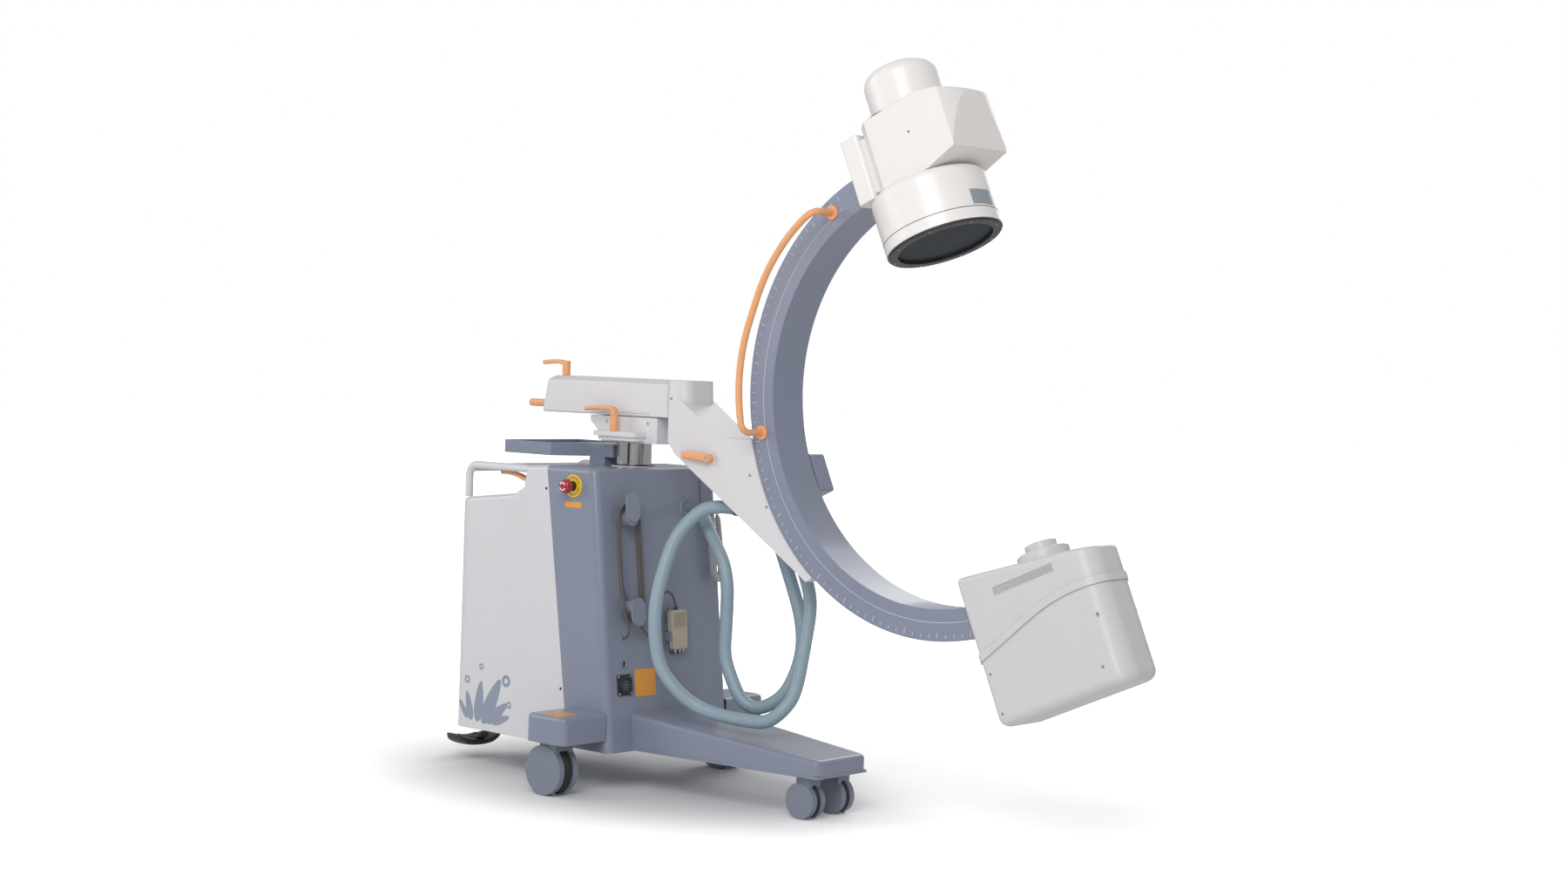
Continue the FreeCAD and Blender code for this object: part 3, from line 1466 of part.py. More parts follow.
def grab_handle():
    """The bent tube on the near side of the arc, on two flanges."""
    last, first = "grab_end", "grab_start"
    turn = f"({last} - {first}) / 2"
    reach = f"grab_path_radius / cos({turn} / 2)"
    radius, stand = "grab_path_radius", "-grab_stand"
    foot = "-arc_width / 2"
    route = [
        (f"{radius} * cos({first})", foot, f"{radius} * sin({first})"),
        (f"{radius} * cos({first})", stand, f"{radius} * sin({first})"),
        (f"{reach} * cos({first} + {turn} / 2)", stand, f"{reach} * sin({first} + {turn} / 2)"),
        (f"{reach} * cos({last} - {turn} / 2)", stand, f"{reach} * sin({last} - {turn} / 2)"),
        (f"{radius} * cos({last})", stand, f"{radius} * sin({last})"),
        (f"{radius} * cos({last})", foot, f"{radius} * sin({last})"),
    ]
    wide = f"{radius} - (grab_bend + 1) / tan({turn} / 2)"
    bent = ["grab_bend", wide, wide, "grab_bend"]
    members = [tube("grab_tube", route, "grab_radius", ARC, bent, keep=False)]
    for angle in (first, last):
        flange = Piece(f"grab_flange_{angle}", ARC, keep=False)
        place = (f"{radius} * cos({angle})", f"{radius} * sin({angle})", "grab_radius + 10")
        flange.pad(flange.discs("XZ", [place], foot), "5", way=-1)
        members.append(flange.body)
    group("grab_handle", members, "Part::MultiFuse")


def steering_lever():
    """The orange lever under the push handle, on a pin between two lugs of the rear cover."""
    piece = Piece("steering_lever")
    tip = "-steer_reach - steer_length"
    side = [
        ("-steer_reach", "(body_height - steer_drop) - 10"),
        ("-steer_reach", "(body_height - steer_drop) + 12"),
        (f"{tip} + 20", "(body_height - steer_drop) + 31"),
        (tip, "(body_height - steer_drop) + 27"),
        (tip, "(body_height - steer_drop) + 17"),
    ]
    piece.pad(piece.outline("XZ", side, "-steer_offset"), "2 * steer_half_width")
    piece.rounded("4", lambda edge: runs_along(edge, "y") and edge.BoundBox.XMax < value(f"{tip} + 21"))
    piece.pad(
        piece.discs("XZ", [("-steer_reach", "(body_height - steer_drop)", "14")], "-steer_offset"),
        "2 * steer_half_width",
    )
    bore = [("-steer_reach", "(body_height - steer_drop)", "4 + running_gap")]
    piece.pocket(piece.discs("XZ", bore, "-steer_offset"), "2 * steer_half_width + 4")
    lugs = Piece("steering_lugs", keep=False)
    for mark in ("-", "+"):
        place = f"-steer_offset {mark} (steer_half_width + 4)"
        profile = [
            ("-hump_reach - 6", "(body_height - steer_drop) + 14"),
            ("-hump_reach - 6", "(body_height - steer_drop) - 5"),
            ("-steer_reach - 8", "(body_height - steer_drop) - 8"),
            ("-steer_reach - 8", "(body_height - steer_drop) + 8"),
        ]
        lugs.pad(lugs.outline("XZ", profile, place), "6")
    pin = lugs.discs("XZ", [("-steer_reach", "(body_height - steer_drop)", "4")], "-steer_offset")
    lugs.pad(pin, "2 * steer_half_width + 10")
    shell = nodes.pop("rear_cover")
    shell.Label = "rear_cover_shell"
    whole = group("rear_cover_with_lugs", [shell, lugs.body], "Part::MultiFuse")
    nodes.pop("rear_cover_with_lugs")
    whole.Label = "rear_cover"
    nodes["rear_cover"] = whole


def brake_pedal():
    """The dark foot pedal behind the body, on a rod that turns on a pin under the frame."""
    piece = Piece("brake_pedal")
    low = "pedal_top - pedal_depth"
    side = [
        ("-pedal_front", "pedal_top"),
        ("-pedal_rear", "pedal_top"),
        ("-pedal_rear + 14", f"{low} + 8"),
        ("-pedal_rear + 40", low),
        ("-pedal_front - 40", low),
        ("-pedal_front - 10", f"{low} + 10"),
    ]
    piece.pad(piece.outline("XZ", side, "-pedal_offset"), "2 * pedal_half_width")
    piece.rounded("22", lambda edge: edge.BoundBox.YLength < 0.1 and edge.BoundBox.ZMin < value(low) + 1)
    hollow = piece.box_outline(
        "XY",
        "-pedal_rear + 12",
        "-pedal_front - 12",
        "-pedal_offset - pedal_half_width + 12",
        "-pedal_offset + pedal_half_width - 12",
        "pedal_top + 1",
    )
    piece.pocket(hollow, "7", way=-1)
    rod = [
        ("-pedal_front + 6", "pedal_top - 18"),
        ("-pedal_front - 10", "pedal_top - 22"),
        ("-pedal_front - 10", "pedal_top - 6"),
        ("-pedal_front - 1", "pedal_top - 2"),
        ("-pedal_front + 24", "pedal_axis_height + 7"),
        ("-pedal_axis_reach", "pedal_axis_height + 7"),
        ("-pedal_axis_reach", "pedal_axis_height - 7"),
        ("-pedal_front + 34", "pedal_axis_height - 7"),
    ]
    piece.pad(piece.outline("XZ", rod, "-pedal_offset"), "14")
    hub = [("-pedal_axis_reach", "pedal_axis_height", "10")]
    piece.pad(piece.discs("XZ", hub, "-pedal_offset"), "14")
    bore = [("-pedal_axis_reach", "pedal_axis_height", "5 + running_gap")]
    piece.pocket(piece.discs("XZ", bore, "-pedal_offset"), "16")
    frame = nodes["base_frame"]
    lugs = Piece("pedal_lugs", keep=False)
    for mark in ("-", "+"):
        lug = lugs.box_outline(
            "XZ",
            "-pedal_axis_reach - 11",
            "-pedal_axis_reach + 11",
            "pedal_axis_height - 10",
            "plate_height + 2",
            f"-pedal_offset {mark} 10.5",
        )
        lugs.pad(lug, "5")
    lugs.pad(lugs.discs("XZ", [("-pedal_axis_reach", "pedal_axis_height", "5")], "-pedal_offset"), "20")
    frame.Label = "base_frame_beams"
    whole = group("base_frame_with_lugs", [frame, lugs.body], "Part::MultiFuse")
    nodes.pop("base_frame_with_lugs")
    whole.Label = "base_frame"
    nodes["base_frame"] = whole


def emergency_stop():
    """The yellow ring and the red button that slides in it, on the near side of the front housing."""
    ring = Piece("estop_ring")
    face = "-body_width / 2"
    ring.pad(
        ring.discs("XZ", [("stop_reach", "stop_height", "stop_ring_radius")], face),
        "stop_ring_depth",
        way=-1,
    )
    ring.bevelled("1.5", lambda edge: edge.BoundBox.YMin < value(f"{face} - stop_ring_depth") + 0.1)
    hole = [("stop_reach", "stop_height", "stop_stem_radius + running_gap")]
    ring.pocket(ring.discs("XZ", hole, face), "stop_ring_depth + 1", way=-1)
    button = Piece("estop_button")
    inner = f"{face} + shell_wall - 2"
    stem = button.discs("XZ", [("stop_reach", "stop_height", "stop_stem_radius")], inner)
    button.pad(stem, "shell_wall - 2 + stop_ring_depth + stop_travel_gap + 1", way=-1)
    head = f"{face} - stop_ring_depth - stop_travel_gap"
    button.pad(button.discs("XZ", [("stop_reach", "stop_height", "stop_head_radius")], head), "20", way=-1)
    button.rounded("6", lambda edge: edge.BoundBox.YMax < value(f"{head} - 19"))
    shell = Piece("estop_hole", keep=False)
    hole = [("stop_reach", "stop_height", "stop_stem_radius + running_gap")]
    shell.pad(shell.discs("XZ", hole, f"{face} - 1"), "shell_wall + 2", way=1)
    housing = nodes.pop("front_housing")
    housing.Label = "front_housing_shell"
    bored = difference("front_housing_bored", housing, shell.body, keep=False)
    bored.Label = "front_housing"
    nodes["front_housing"] = bored


# Fittings on the front face, in the face's own frame

def up(height):
    """How far up the slope a height above the floor lies."""
    lean = "atan((face_foot_reach - face_top_reach) / (body_height - skirt_height))"
    return f"(({height}) - skirt_height) / cos({lean})"


def cord_hooks():
    """The two cord hooks with their paddles and the small hanger beside them."""
    piece = Piece("cord_hooks", FACE)
    for height, low, high in (("hook_upper_height", "-13", "71"), ("hook_lower_height", "-54", "25")):
        stem = [("-hook_offset", up(height), "hook_stem_radius")]
        piece.pad(piece.discs("YZ", stem), "hook_depth + 1", way=1)
        half = "hook_paddle_half"
        first, last = f"{up(height)} + {low} + {half}", f"{up(height)} + {high} - {half}"
        piece.pad(piece.outline("YZ", stadium_points(half, first, last), "hook_depth"), "6", way=1)
    low = up("hanger_height")
    plate = piece.box_outline("YZ", "hanger_offset - 21", "hanger_offset + 21", low, f"{low} + 100")
    piece.pad(plate, "5", way=1)
    arm = piece.box_outline("YZ", "hanger_offset - 18", "hanger_offset + 18", low, f"{low} + 8")
    piece.pad(arm, "36", way=1)
    lip = piece.box_outline("YZ", "hanger_offset - 18", "hanger_offset + 18", low, f"{low} + 22", "32")
    piece.pad(lip, "4", way=1)


def stadium_points(half, first, last):
    """An outline with round ends about the hooks' offset."""
    left, right = f"-hook_offset - ({half})", f"-hook_offset + ({half})"
    return [
        (left, last, f"({half}) * 1.001"),
        (left, first),
        (right, first, f"({half}) * 1.001"),
        (right, last),
    ]


def cable_hank():
    """The hand switch's spare cable, wound about the two hooks' stems."""
    piece = Piece("cable_hank", FACE)
    sag = "(hank_half_width - hank_thickness - hook_stem_radius - 1.5)"
    first, last = f"{up('hook_lower_height')} - {sag}", f"{up('hook_upper_height')} - {sag}"
    front = "hook_depth - hank_depth - 10"
    piece.pad(
        piece.outline("YZ", stadium_points("hank_half_width", first, last), front), "hank_depth", way=1
    )
    inner = "hank_half_width - hank_thickness"
    hole = piece.outline("YZ", stadium_points(inner, first, last), f"{front} - 1")
    piece.pocket(hole, "hank_depth + 2", way=1)
    piece.rounded("5", lambda edge: edge.BoundBox.XLength < 0.1)


def front_sockets():
    """The cable grommet, the small jack and the square multi-way socket."""
    piece = Piece("front_sockets", FACE)
    grommet = [("-grommet_offset", up("grommet_height"), "12")]
    piece.pad(piece.discs("YZ", grommet), "9", way=1)
    jack = [("-grommet_offset - 2", up("jack_height"), "10")]
    piece.pad(piece.discs("YZ", jack), "4", way=1)
    piece.pad(piece.discs("YZ", [(*jack[0][:2], "7")]), "12", way=1)
    piece.pocket(piece.discs("YZ", [(*jack[0][:2], "3")], "13"), "9", way=-1)
    middle = up("multipin_height")
    plate = piece.box_outline(
        "YZ",
        "-grommet_offset + 4 - multipin_half",
        "-grommet_offset + 4 + multipin_half",
        f"{middle} - multipin_half",
        f"{middle} + multipin_half",
    )
    piece.pad(plate, "6", way=1)
    piece.pad(piece.discs("YZ", [("-grommet_offset + 4", middle, "22")]), "14", way=1)
    piece.pocket(piece.discs("YZ", [("-grommet_offset + 4", middle, "18")], "15"), "8", way=-1)


def switch_and_holder():
    """The hand switch and the small holder that it rests in."""
    holder = Piece("switch_holder", FACE)
    middle = up("switch_height")
    left, right = "switch_offset - switch_half_width", "switch_offset + switch_half_width"
    foot = f"{middle} - switch_half_height"
    plate = holder.box_outline("YZ", f"{left} - 3", f"{right} - 10", f"{foot} - 4", f"{middle} + 20")
    holder.pad(plate, "4", way=1)
    clip = holder.box_outline(
        "YZ", f"{left} - 4", f"{left} - running_gap", f"{middle} - 30", f"{middle} + 14"
    )
    holder.pad(clip, "26", way=1)
    clip = holder.box_outline("YZ", f"{left} + 10", f"{right} - 12", f"{foot} - 5", f"{foot} - running_gap")
    holder.pad(clip, "26", way=1)
    switch = Piece("hand_switch", FACE)
    body = switch.box_outline("YZ", left, right, foot, f"{middle} + switch_half_height", "4 + running_gap")
    switch.pad(body, "switch_depth", way=1)
    switch.rounded("9", lambda edge: runs_along(edge, "x"))
    switch.rounded(
        "4", lambda edge: at(edge, x="4 + running_gap + switch_depth") and edge.BoundBox.XLength < 0.1
    )


def hose_fittings():
    """The hose elbow on the front face, the clamp and the gland on the bracket and the entry box."""
    elbow = [
        (f"{face_reach('765')} + 4", "114", "765"),
        (f"{face_reach('765')} + 64", "106", "768"),
        (f"{face_reach('765')} + 122", "54", "750"),
    ]
    pipe = tube("hose_elbow_pipe", elbow, "14", radii=["40"], keep=False)
    ring = Piece("hose_elbow_ring", FACE, keep=False)
    ring.pad(ring.discs("YZ", [("114", up("765"), "27")]), "8", way=1)
    group("hose_elbow", [pipe, ring.body], "Part::MultiFuse")
    clamps = Piece("hose_clamps")
    slope = "((bracket_heel_height - bracket_tip_height) / (bracket_tip_reach - bracket_heel_reach))"
    block = [
        ("clamp_rear", "clamp_height"),
        ("clamp_front", "clamp_height"),
        ("clamp_front", f"bracket_heel_height - (clamp_front - bracket_heel_reach) * {slope}"),
        ("clamp_rear", f"bracket_heel_height - (clamp_rear - bracket_heel_reach) * {slope}"),
    ]
    clamps.pad(clamps.outline("XZ", block), "40")
    sleeve = clamps.discs("YZ", [("0", "clamp_height", "hose_radius + 3")], "clamp_rear")
    clamps.pad(sleeve, "10", way=1)
    gland = clamps.box_outline(
        "XZ", "gland_rear", "gland_front", "gland_low", "gland_high", "bracket_half_width"
    )
    clamps.pad(gland, "gland_out - bracket_half_width", way=1)
    box = Piece("cable_entry_box", (*ARC[:3], "-entry_angle"))
    plan = box.box_outline(
        "XZ", "entry_inner", "entry_outer", "-entry_half", "entry_half", "bracket_half_width"
    )
    box.pad(plan, "entry_out - bracket_half_width", way=1)
    box.rounded("8", lambda edge: runs_along(edge, "y") or edge.BoundBox.YMin > value("entry_out") - 1)


# Routes of the hoses and cables, as places chosen by hand

HOSE_A = [
    (384, 0, 784), (331, -20, 788), (296, -50, 767), (256, -90, 702), (255, -130, 619), (251, -160, 504),
    (270, -160, 365), (318, -140, 298), (367, -100, 249), (444, -80, 234), (504, -60, 228), (564, -40, 226),
    (598, -10, 263), (612, 20, 308), (612, 50, 437), (611, 72, 537), (578, 88, 603), (530, 92, 680),
    (506, 92, 743),
]
HOSE_B = [
    (229, 50, 748), (277, 20, 715), (373, 0, 613), (370, 2, 459), (367, 0, 387), (392, 0, 331),
    (433, 2, 265), (480, 20, 245), (544, 50, 286), (570, 70, 358), (571, 90, 427), (557, 92, 507),
    (506, 92, 620), (468, 92, 698), (456, 92, 745.2),
]
SWITCH_CABLE_IN = [(10, -167, 306), (40, -170, 318), (26, -188.1, 373.6)]
SWITCH_CABLE_OUT = [
    (26, -131.8, 350.3), (27, -100, 300), (30, -46, 298), (30, -38, 426), (26, 18, 424), (22, 27, 373.9),
]
CURLY_CORD = [
    (25, 183, 634), (26, 181, 560), (27, 180, 452), (27, 215, 450), (26, 217, 560), (25, 211, 634),
]


def cords():
    """The two thick hoses to the arc, the hand switch's cable and the hanging curly cord."""
    tube("hose_a", HOSE_A, "hose_radius")
    tube("hose_b", HOSE_B, "hose_radius")
    members = [
        tube("switch_cable_in", SWITCH_CABLE_IN, "cable_radius", FACE, keep=False),
        tube("switch_cable_out", SWITCH_CABLE_OUT, "cable_radius", FACE, keep=False),
    ]
    group("switch_cable", members)
    tube("curly_cord", CURLY_CORD, "curl_radius", FACE)


push_handle()
grab_handle()
steering_lever()
brake_pedal()
emergency_stop()
cord_hooks()
cable_hank()
front_sockets()
switch_and_holder()
hose_fittings()
cords()

os.makedirs("parts", exist_ok=True)
for item in doc.Objects:
    if "Invalid" in item.State or "Error" in item.State:
        raise ValueError(f"{item.Name} did not rebuild: {item.State}")
for name, item in nodes.items():
    shape = item.Shape
    if shape.isNull() or not shape.isValid():
        raise ValueError(f"{name} has no sound shape")
    shape.exportStep(f"parts/{name}.step")
print(f"{len(nodes)} nodes written, {sum(len(item.Shape.Solids) for item in nodes.values())} solids")
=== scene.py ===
"""Scene of a mobile C-arm X-ray stand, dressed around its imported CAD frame."""
import logging
import math
import random
from dataclasses import dataclass
from enum import Enum
from typing import Iterable, Sequence

import bmesh
import bpy
from mathutils import Matrix, Vector


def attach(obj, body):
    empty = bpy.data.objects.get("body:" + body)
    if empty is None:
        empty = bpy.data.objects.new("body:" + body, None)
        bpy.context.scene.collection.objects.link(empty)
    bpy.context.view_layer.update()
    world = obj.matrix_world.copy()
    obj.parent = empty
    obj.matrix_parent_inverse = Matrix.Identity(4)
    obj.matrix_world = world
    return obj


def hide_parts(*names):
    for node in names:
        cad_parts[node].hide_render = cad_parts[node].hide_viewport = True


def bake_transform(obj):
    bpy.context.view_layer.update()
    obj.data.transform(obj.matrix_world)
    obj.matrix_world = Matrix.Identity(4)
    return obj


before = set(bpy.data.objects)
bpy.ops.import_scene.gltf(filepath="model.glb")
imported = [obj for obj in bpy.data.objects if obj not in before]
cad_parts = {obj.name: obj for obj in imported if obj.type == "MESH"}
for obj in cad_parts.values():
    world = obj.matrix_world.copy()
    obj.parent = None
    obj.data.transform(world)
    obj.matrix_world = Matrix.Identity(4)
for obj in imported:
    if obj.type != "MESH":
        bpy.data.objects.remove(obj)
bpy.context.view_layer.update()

log = logging.getLogger("c_arm")

Point = tuple[float, float, float]
Profile = Sequence[tuple[float, float]]
Ring = list[bmesh.types.BMVert]

MM = 0.001
COLUMN = -552.0

# Places in millimetres from the column's foot; screws start 0.1 mm inside the 240 mm and 65 mm sides
TRAY_FLOOR = 903.0
BODY_SIDE = 239.9
ARM_SIDE = 64.9
FACE_LOW, FACE_HIGH = 112, 876
FACE_FOOT, FACE_TOP = 179, 89
ARC_MIDDLE = (1094, 0, 1112)
BEAM_OFFSET = 130
TILT = math.radians(23.8)
LEAN = math.atan((FACE_FOOT - FACE_TOP) / (FACE_HIGH - FACE_LOW))
END_SHARES = (0.25, 0.6, 0.85, 0.96)

CART = Matrix.Translation((COLUMN * MM, 0, 0)) @ Matrix.Scale(MM, 4)
ARC = CART @ Matrix.Translation(ARC_MIDDLE) @ Matrix.Rotation(-TILT, 4, "Y")
BEAM = ARC @ Matrix.Translation((BEAM_OFFSET, 0, 0))
FACE = CART @ Matrix.Translation((FACE_FOOT, 0, FACE_LOW)) @ Matrix.Rotation(-LEAN, 4, "Y")


class Axis(Enum):
    """The direction that a turned or drawn-out form follows in its frame."""

    X = (1, 0, 0)
    Y = (0, 1, 0)
    Z = (0, 0, 1)
    BACK_X = (-1, 0, 0)
    BACK_Y = (0, -1, 0)
    DOWN = (0, 0, -1)


def aimed(place: Point, axis: Axis | Point) -> Matrix:
    """A matrix that carries +Z to an axis at a place.

    Args:
        place: Where the form's own origin goes.
        axis: The direction of the form's own +Z.

    Returns:
        The matrix in the frame's millimetres.
    """
    way = Vector(axis.value if isinstance(axis, Axis) else axis).normalized()
    side = Vector((0, 0, 1)) if abs(way.z) < 0.9 else Vector((1, 0, 0))
    across = side.cross(way).normalized()
    up = way.cross(across)
    turn = Matrix((across, up, way)).transposed().to_4x4()
    return Matrix.Translation(place) @ turn


def slope_point(out: float, y: float, height: float) -> Point:
    """A place on the front face's frame for a height above the floor."""
    return out, y, (height - FACE_LOW) / math.cos(LEAN)


def sideways(sign: float) -> Axis:
    """The way out of the side that a sign stands for, the left one if positive."""
    return Axis.Y if sign > 0 else Axis.BACK_Y


def rectangle(left: float, low: float, right: float, high: float) -> list[tuple[float, float]]:
    """The four corners between two opposite ones."""
    return [(left, low), (right, low), (right, high), (left, high)]


def on_circle(radius: float, angle: float) -> tuple[float, float]:
    """A point on a circle about the origin, the angle in radians."""
    return radius * math.cos(angle), radius * math.sin(angle)


# Finishes


class Look(Enum):
    """The named finishes of the machine."""

    CREAM = "cream_moulding"
    WARM = "warm_moulding"
    BLUE = "blue_grey_paint"
    HEAD = "grey_white_moulding"
    BLUE_METAL = "blue_grey_casting"
    PALE = "pale_grey_paint"
    ORANGE = "orange_grip"
    CHROME = "chrome_column"
    STEEL = "machined_steel"
    DARK = "dark_plastic"
    TYRE = "black_tyre"
    HOSE = "hose_rubber"
    CABLE = "cable_sheath"
    CURL = "curl_sheath"
    RED = "stop_red"
    YELLOW = "stop_yellow"
    BEIGE = "switch_beige"
    GLASS = "window_black"
    PLATE = "orange_plate"
    SILVER = "silver_plate"
    INK = "white_ink"
    GREY_INK = "grey_ink"
    GAP = "dark_gap"
    MOTIF = "blue_motif"
    FLOOR_TRAY = "tray_floor"
    CASTER = "caster_grey"
    GREY = "grey_plastic"


@dataclass(frozen=True)
class Finish:
    """One surface: its colour and the sizes of what varies on it."""

    look: Look
    colour: Point
    roughness: float = 0.4
    metallic: float = 0.0
    coat: float = 0.0
    mottle: float = 0.04
    grain: float = 900.0
    bump: float = 0.05
    edge: float = 0.12
    edge_radius: float = 0.0015
    dust: float = 0.03
    ior: float = 1.45


FINISHES = (
    Finish(Look.CREAM, (0.66, 0.655, 0.68), 0.36, coat=0.15, mottle=0.02, edge_radius=0.003),
    Finish(Look.WARM, (0.83, 0.80, 0.785), 0.34, coat=0.2, mottle=0.02, edge_radius=0.003),
    Finish(Look.HEAD, (0.62, 0.605, 0.62), 0.34, coat=0.2, mottle=0.02, edge_radius=0.003),
    Finish(Look.BLUE, (0.225, 0.25, 0.33), 0.36, coat=0.35, grain=1400, bump=0.09, edge_radius=0.003),
    Finish(Look.BLUE_METAL, (0.225, 0.25, 0.335), 0.36, coat=0.3, grain=1700, bump=0.06, edge_radius=0.002),
    Finish(Look.PALE, (0.69, 0.68, 0.70), 0.38, coat=0.15, grain=1500, edge_radius=0.002),
    Finish(Look.ORANGE, (0.83, 0.39, 0.17), 0.4, coat=0.1, grain=1200, edge_radius=0.001),
    Finish(Look.CHROME, (0.62, 0.61, 0.62), 0.12, metallic=1.0, mottle=0.05, grain=300, bump=0.01),
    Finish(Look.STEEL, (0.45, 0.45, 0.47), 0.3, metallic=1.0, mottle=0.08, grain=700, edge_radius=0.0005),
    Finish(Look.DARK, (0.03, 0.032, 0.036), 0.45, grain=1300, bump=0.08, edge=0.05, edge_radius=0.0008),
    Finish(Look.TYRE, (0.018, 0.018, 0.02), 0.62, grain=1100, bump=0.15, edge=0.06, dust=0.1),
    Finish(Look.HOSE, (0.27, 0.36, 0.42), 0.42, coat=0.08, mottle=0.08, grain=800, bump=0.08, edge=0.0),
    Finish(Look.CABLE, (0.115, 0.105, 0.10), 0.5, mottle=0.1, grain=1500, edge=0.0),
    Finish(Look.CURL, (0.55, 0.55, 0.56), 0.45, mottle=0.06, grain=1500, edge=0.0),
    Finish(Look.RED, (0.38, 0.012, 0.025), 0.25, coat=0.5, mottle=0.05, edge_radius=0.001),
    Finish(Look.YELLOW, (0.80, 0.50, 0.03), 0.35, coat=0.3, edge_radius=0.0006),
    Finish(Look.BEIGE, (0.47, 0.42, 0.34), 0.5, grain=1300, bump=0.12, edge_radius=0.001),
    Finish(Look.GLASS, (0.030, 0.036, 0.043), 0.25, mottle=0.15, grain=200, bump=0.01, edge=0.0, dust=0.0,
           ior=1.08),
    Finish(Look.PLATE, (0.78, 0.33, 0.05), 0.45, mottle=0.08, edge_radius=0.0002),
    Finish(Look.SILVER, (0.36, 0.40, 0.46), 0.35, metallic=0.4, mottle=0.08, edge_radius=0.0002),
    Finish(Look.INK, (0.72, 0.74, 0.78), 0.5, mottle=0.12, edge=0.0, edge_radius=0.0001),
    Finish(Look.GREY_INK, (0.16, 0.17, 0.19), 0.5, mottle=0.12, edge=0.0, edge_radius=0.0001),
    Finish(Look.GAP, (0.02, 0.021, 0.024), 0.7, edge=0.0, dust=0.0, edge_radius=0.0001),
    Finish(Look.MOTIF, (0.27, 0.31, 0.40), 0.42, mottle=0.06, edge=0.0, edge_radius=0.0002),
    Finish(Look.CASTER, (0.20, 0.225, 0.28), 0.42, grain=1500, bump=0.1, edge_radius=0.001),
    Finish(Look.GREY, (0.22, 0.24, 0.28), 0.4, edge_radius=0.001),
    Finish(Look.FLOOR_TRAY, (0.15, 0.17, 0.36), 0.35, mottle=0.1, grain=1200, bump=0.1),
)


def new_group(name: str, inputs: Sequence[tuple], outputs: Sequence[tuple]) -> bpy.types.NodeTree:
    """Starts a shader node group.

    Args:
        name: The group's name.
        inputs: Each input's name and kind, with its start value where it has one.
        outputs: Each output's name and kind.

    Returns:
        The group with its sockets.
    """
    tree = bpy.data.node_groups.new(name, "ShaderNodeTree")
    for way, rows in (("INPUT", inputs), ("OUTPUT", outputs)):
        for label, kind, *start in rows:
            socket = tree.interface.new_socket(label, in_out=way, socket_type=f"NodeSocket{kind}")
            if start:
                socket.default_value = start[0]
    return tree


def preset(node: bpy.types.Node, values: dict[str, object]) -> None:
    """Sets a node's inputs by their names."""
    for label, value in values.items():
        node.inputs[label].default_value = value


class NodeTree:
    """Short ways to place and join nodes in one tree."""

    def __init__(self, tree: bpy.types.NodeTree) -> None:
        """Holds the tree that the nodes go into."""
        self.tree = tree

    def node(self, kind: str, **settings: object) -> bpy.types.Node:
        """Adds a node.

        Args:
            kind: The node's type without its leading words.
            settings: Properties, or inputs where the name starts with in_.

        Returns:
            The new node.
        """
        item = self.tree.nodes.new(kind)
        for key, setting in settings.items():
            if key.startswith("in_"):
                item.inputs[int(key[3:])].default_value = setting
            else:
                setattr(item, key, setting)
        return item

    def join(self, source: bpy.types.NodeSocket, target: bpy.types.NodeSocket) -> None:
        """Links one socket to another."""
        self.tree.links.new(source, target)

    def maths(self, operation: str, first: object, second: object = 0.0) -> bpy.types.NodeSocket:
        """A Math node on two numbers or sockets, and its result."""
        item = self.tree.nodes.new("ShaderNodeMath")
        item.operation = operation
        for index, term in enumerate((first, second)):
            if isinstance(term, bpy.types.NodeSocket):
                self.join(term, item.inputs[index])
            else:
                item.inputs[index].default_value = term
        return item.outputs[0]


def surface_group() -> bpy.types.NodeTree:
    """Builds the group for mottling and fine moulding grain.

    Returns:
        A group that gives a colour, a roughness and a height.
    """
    tree = new_group(
        "moulded_surface",
        (("Colour", "Color"), ("Roughness", "Float", 0.4), ("Mottle", "Float", 0.04),
         ("Grain", "Float", 900.0)),
        (("Colour", "Color"), ("Roughness", "Float"), ("Height", "Float")),
    )
    work = NodeTree(tree)
    given, result = work.node("NodeGroupInput"), work.node("NodeGroupOutput")
    place = work.node("ShaderNodeTexCoord")
    cloud = work.node("ShaderNodeTexNoise", in_2=5.0, in_3=4.0)
    fleck = work.node("ShaderNodeTexNoise", in_3=2.0)
    work.join(place.outputs["Object"], cloud.inputs[0])
    work.join(place.outputs["Object"], fleck.inputs[0])
    work.join(given.outputs["Grain"], fleck.inputs["Scale"])
    spread = work.maths("SUBTRACT", cloud.outputs[0], 0.5)
    fine = work.maths("SUBTRACT", fleck.outputs[0], 0.5)
    both = work.maths("ADD", work.maths("MULTIPLY", spread, 2.0), fine)
    change = work.maths("ADD", work.maths("MULTIPLY", both, given.outputs["Mottle"]), 1.0)
    tint = work.node("ShaderNodeVectorMath", operation="SCALE")
    work.join(given.outputs["Colour"], tint.inputs[0])
    work.join(change, tint.inputs["Scale"])
    work.join(tint.outputs[0], result.inputs["Colour"])
    rough = work.maths("ADD", given.outputs["Roughness"], work.maths("MULTIPLY", both, 0.08))
    work.join(rough, result.inputs["Roughness"])
    work.join(fleck.outputs[0], result.inputs["Height"])
    return tree


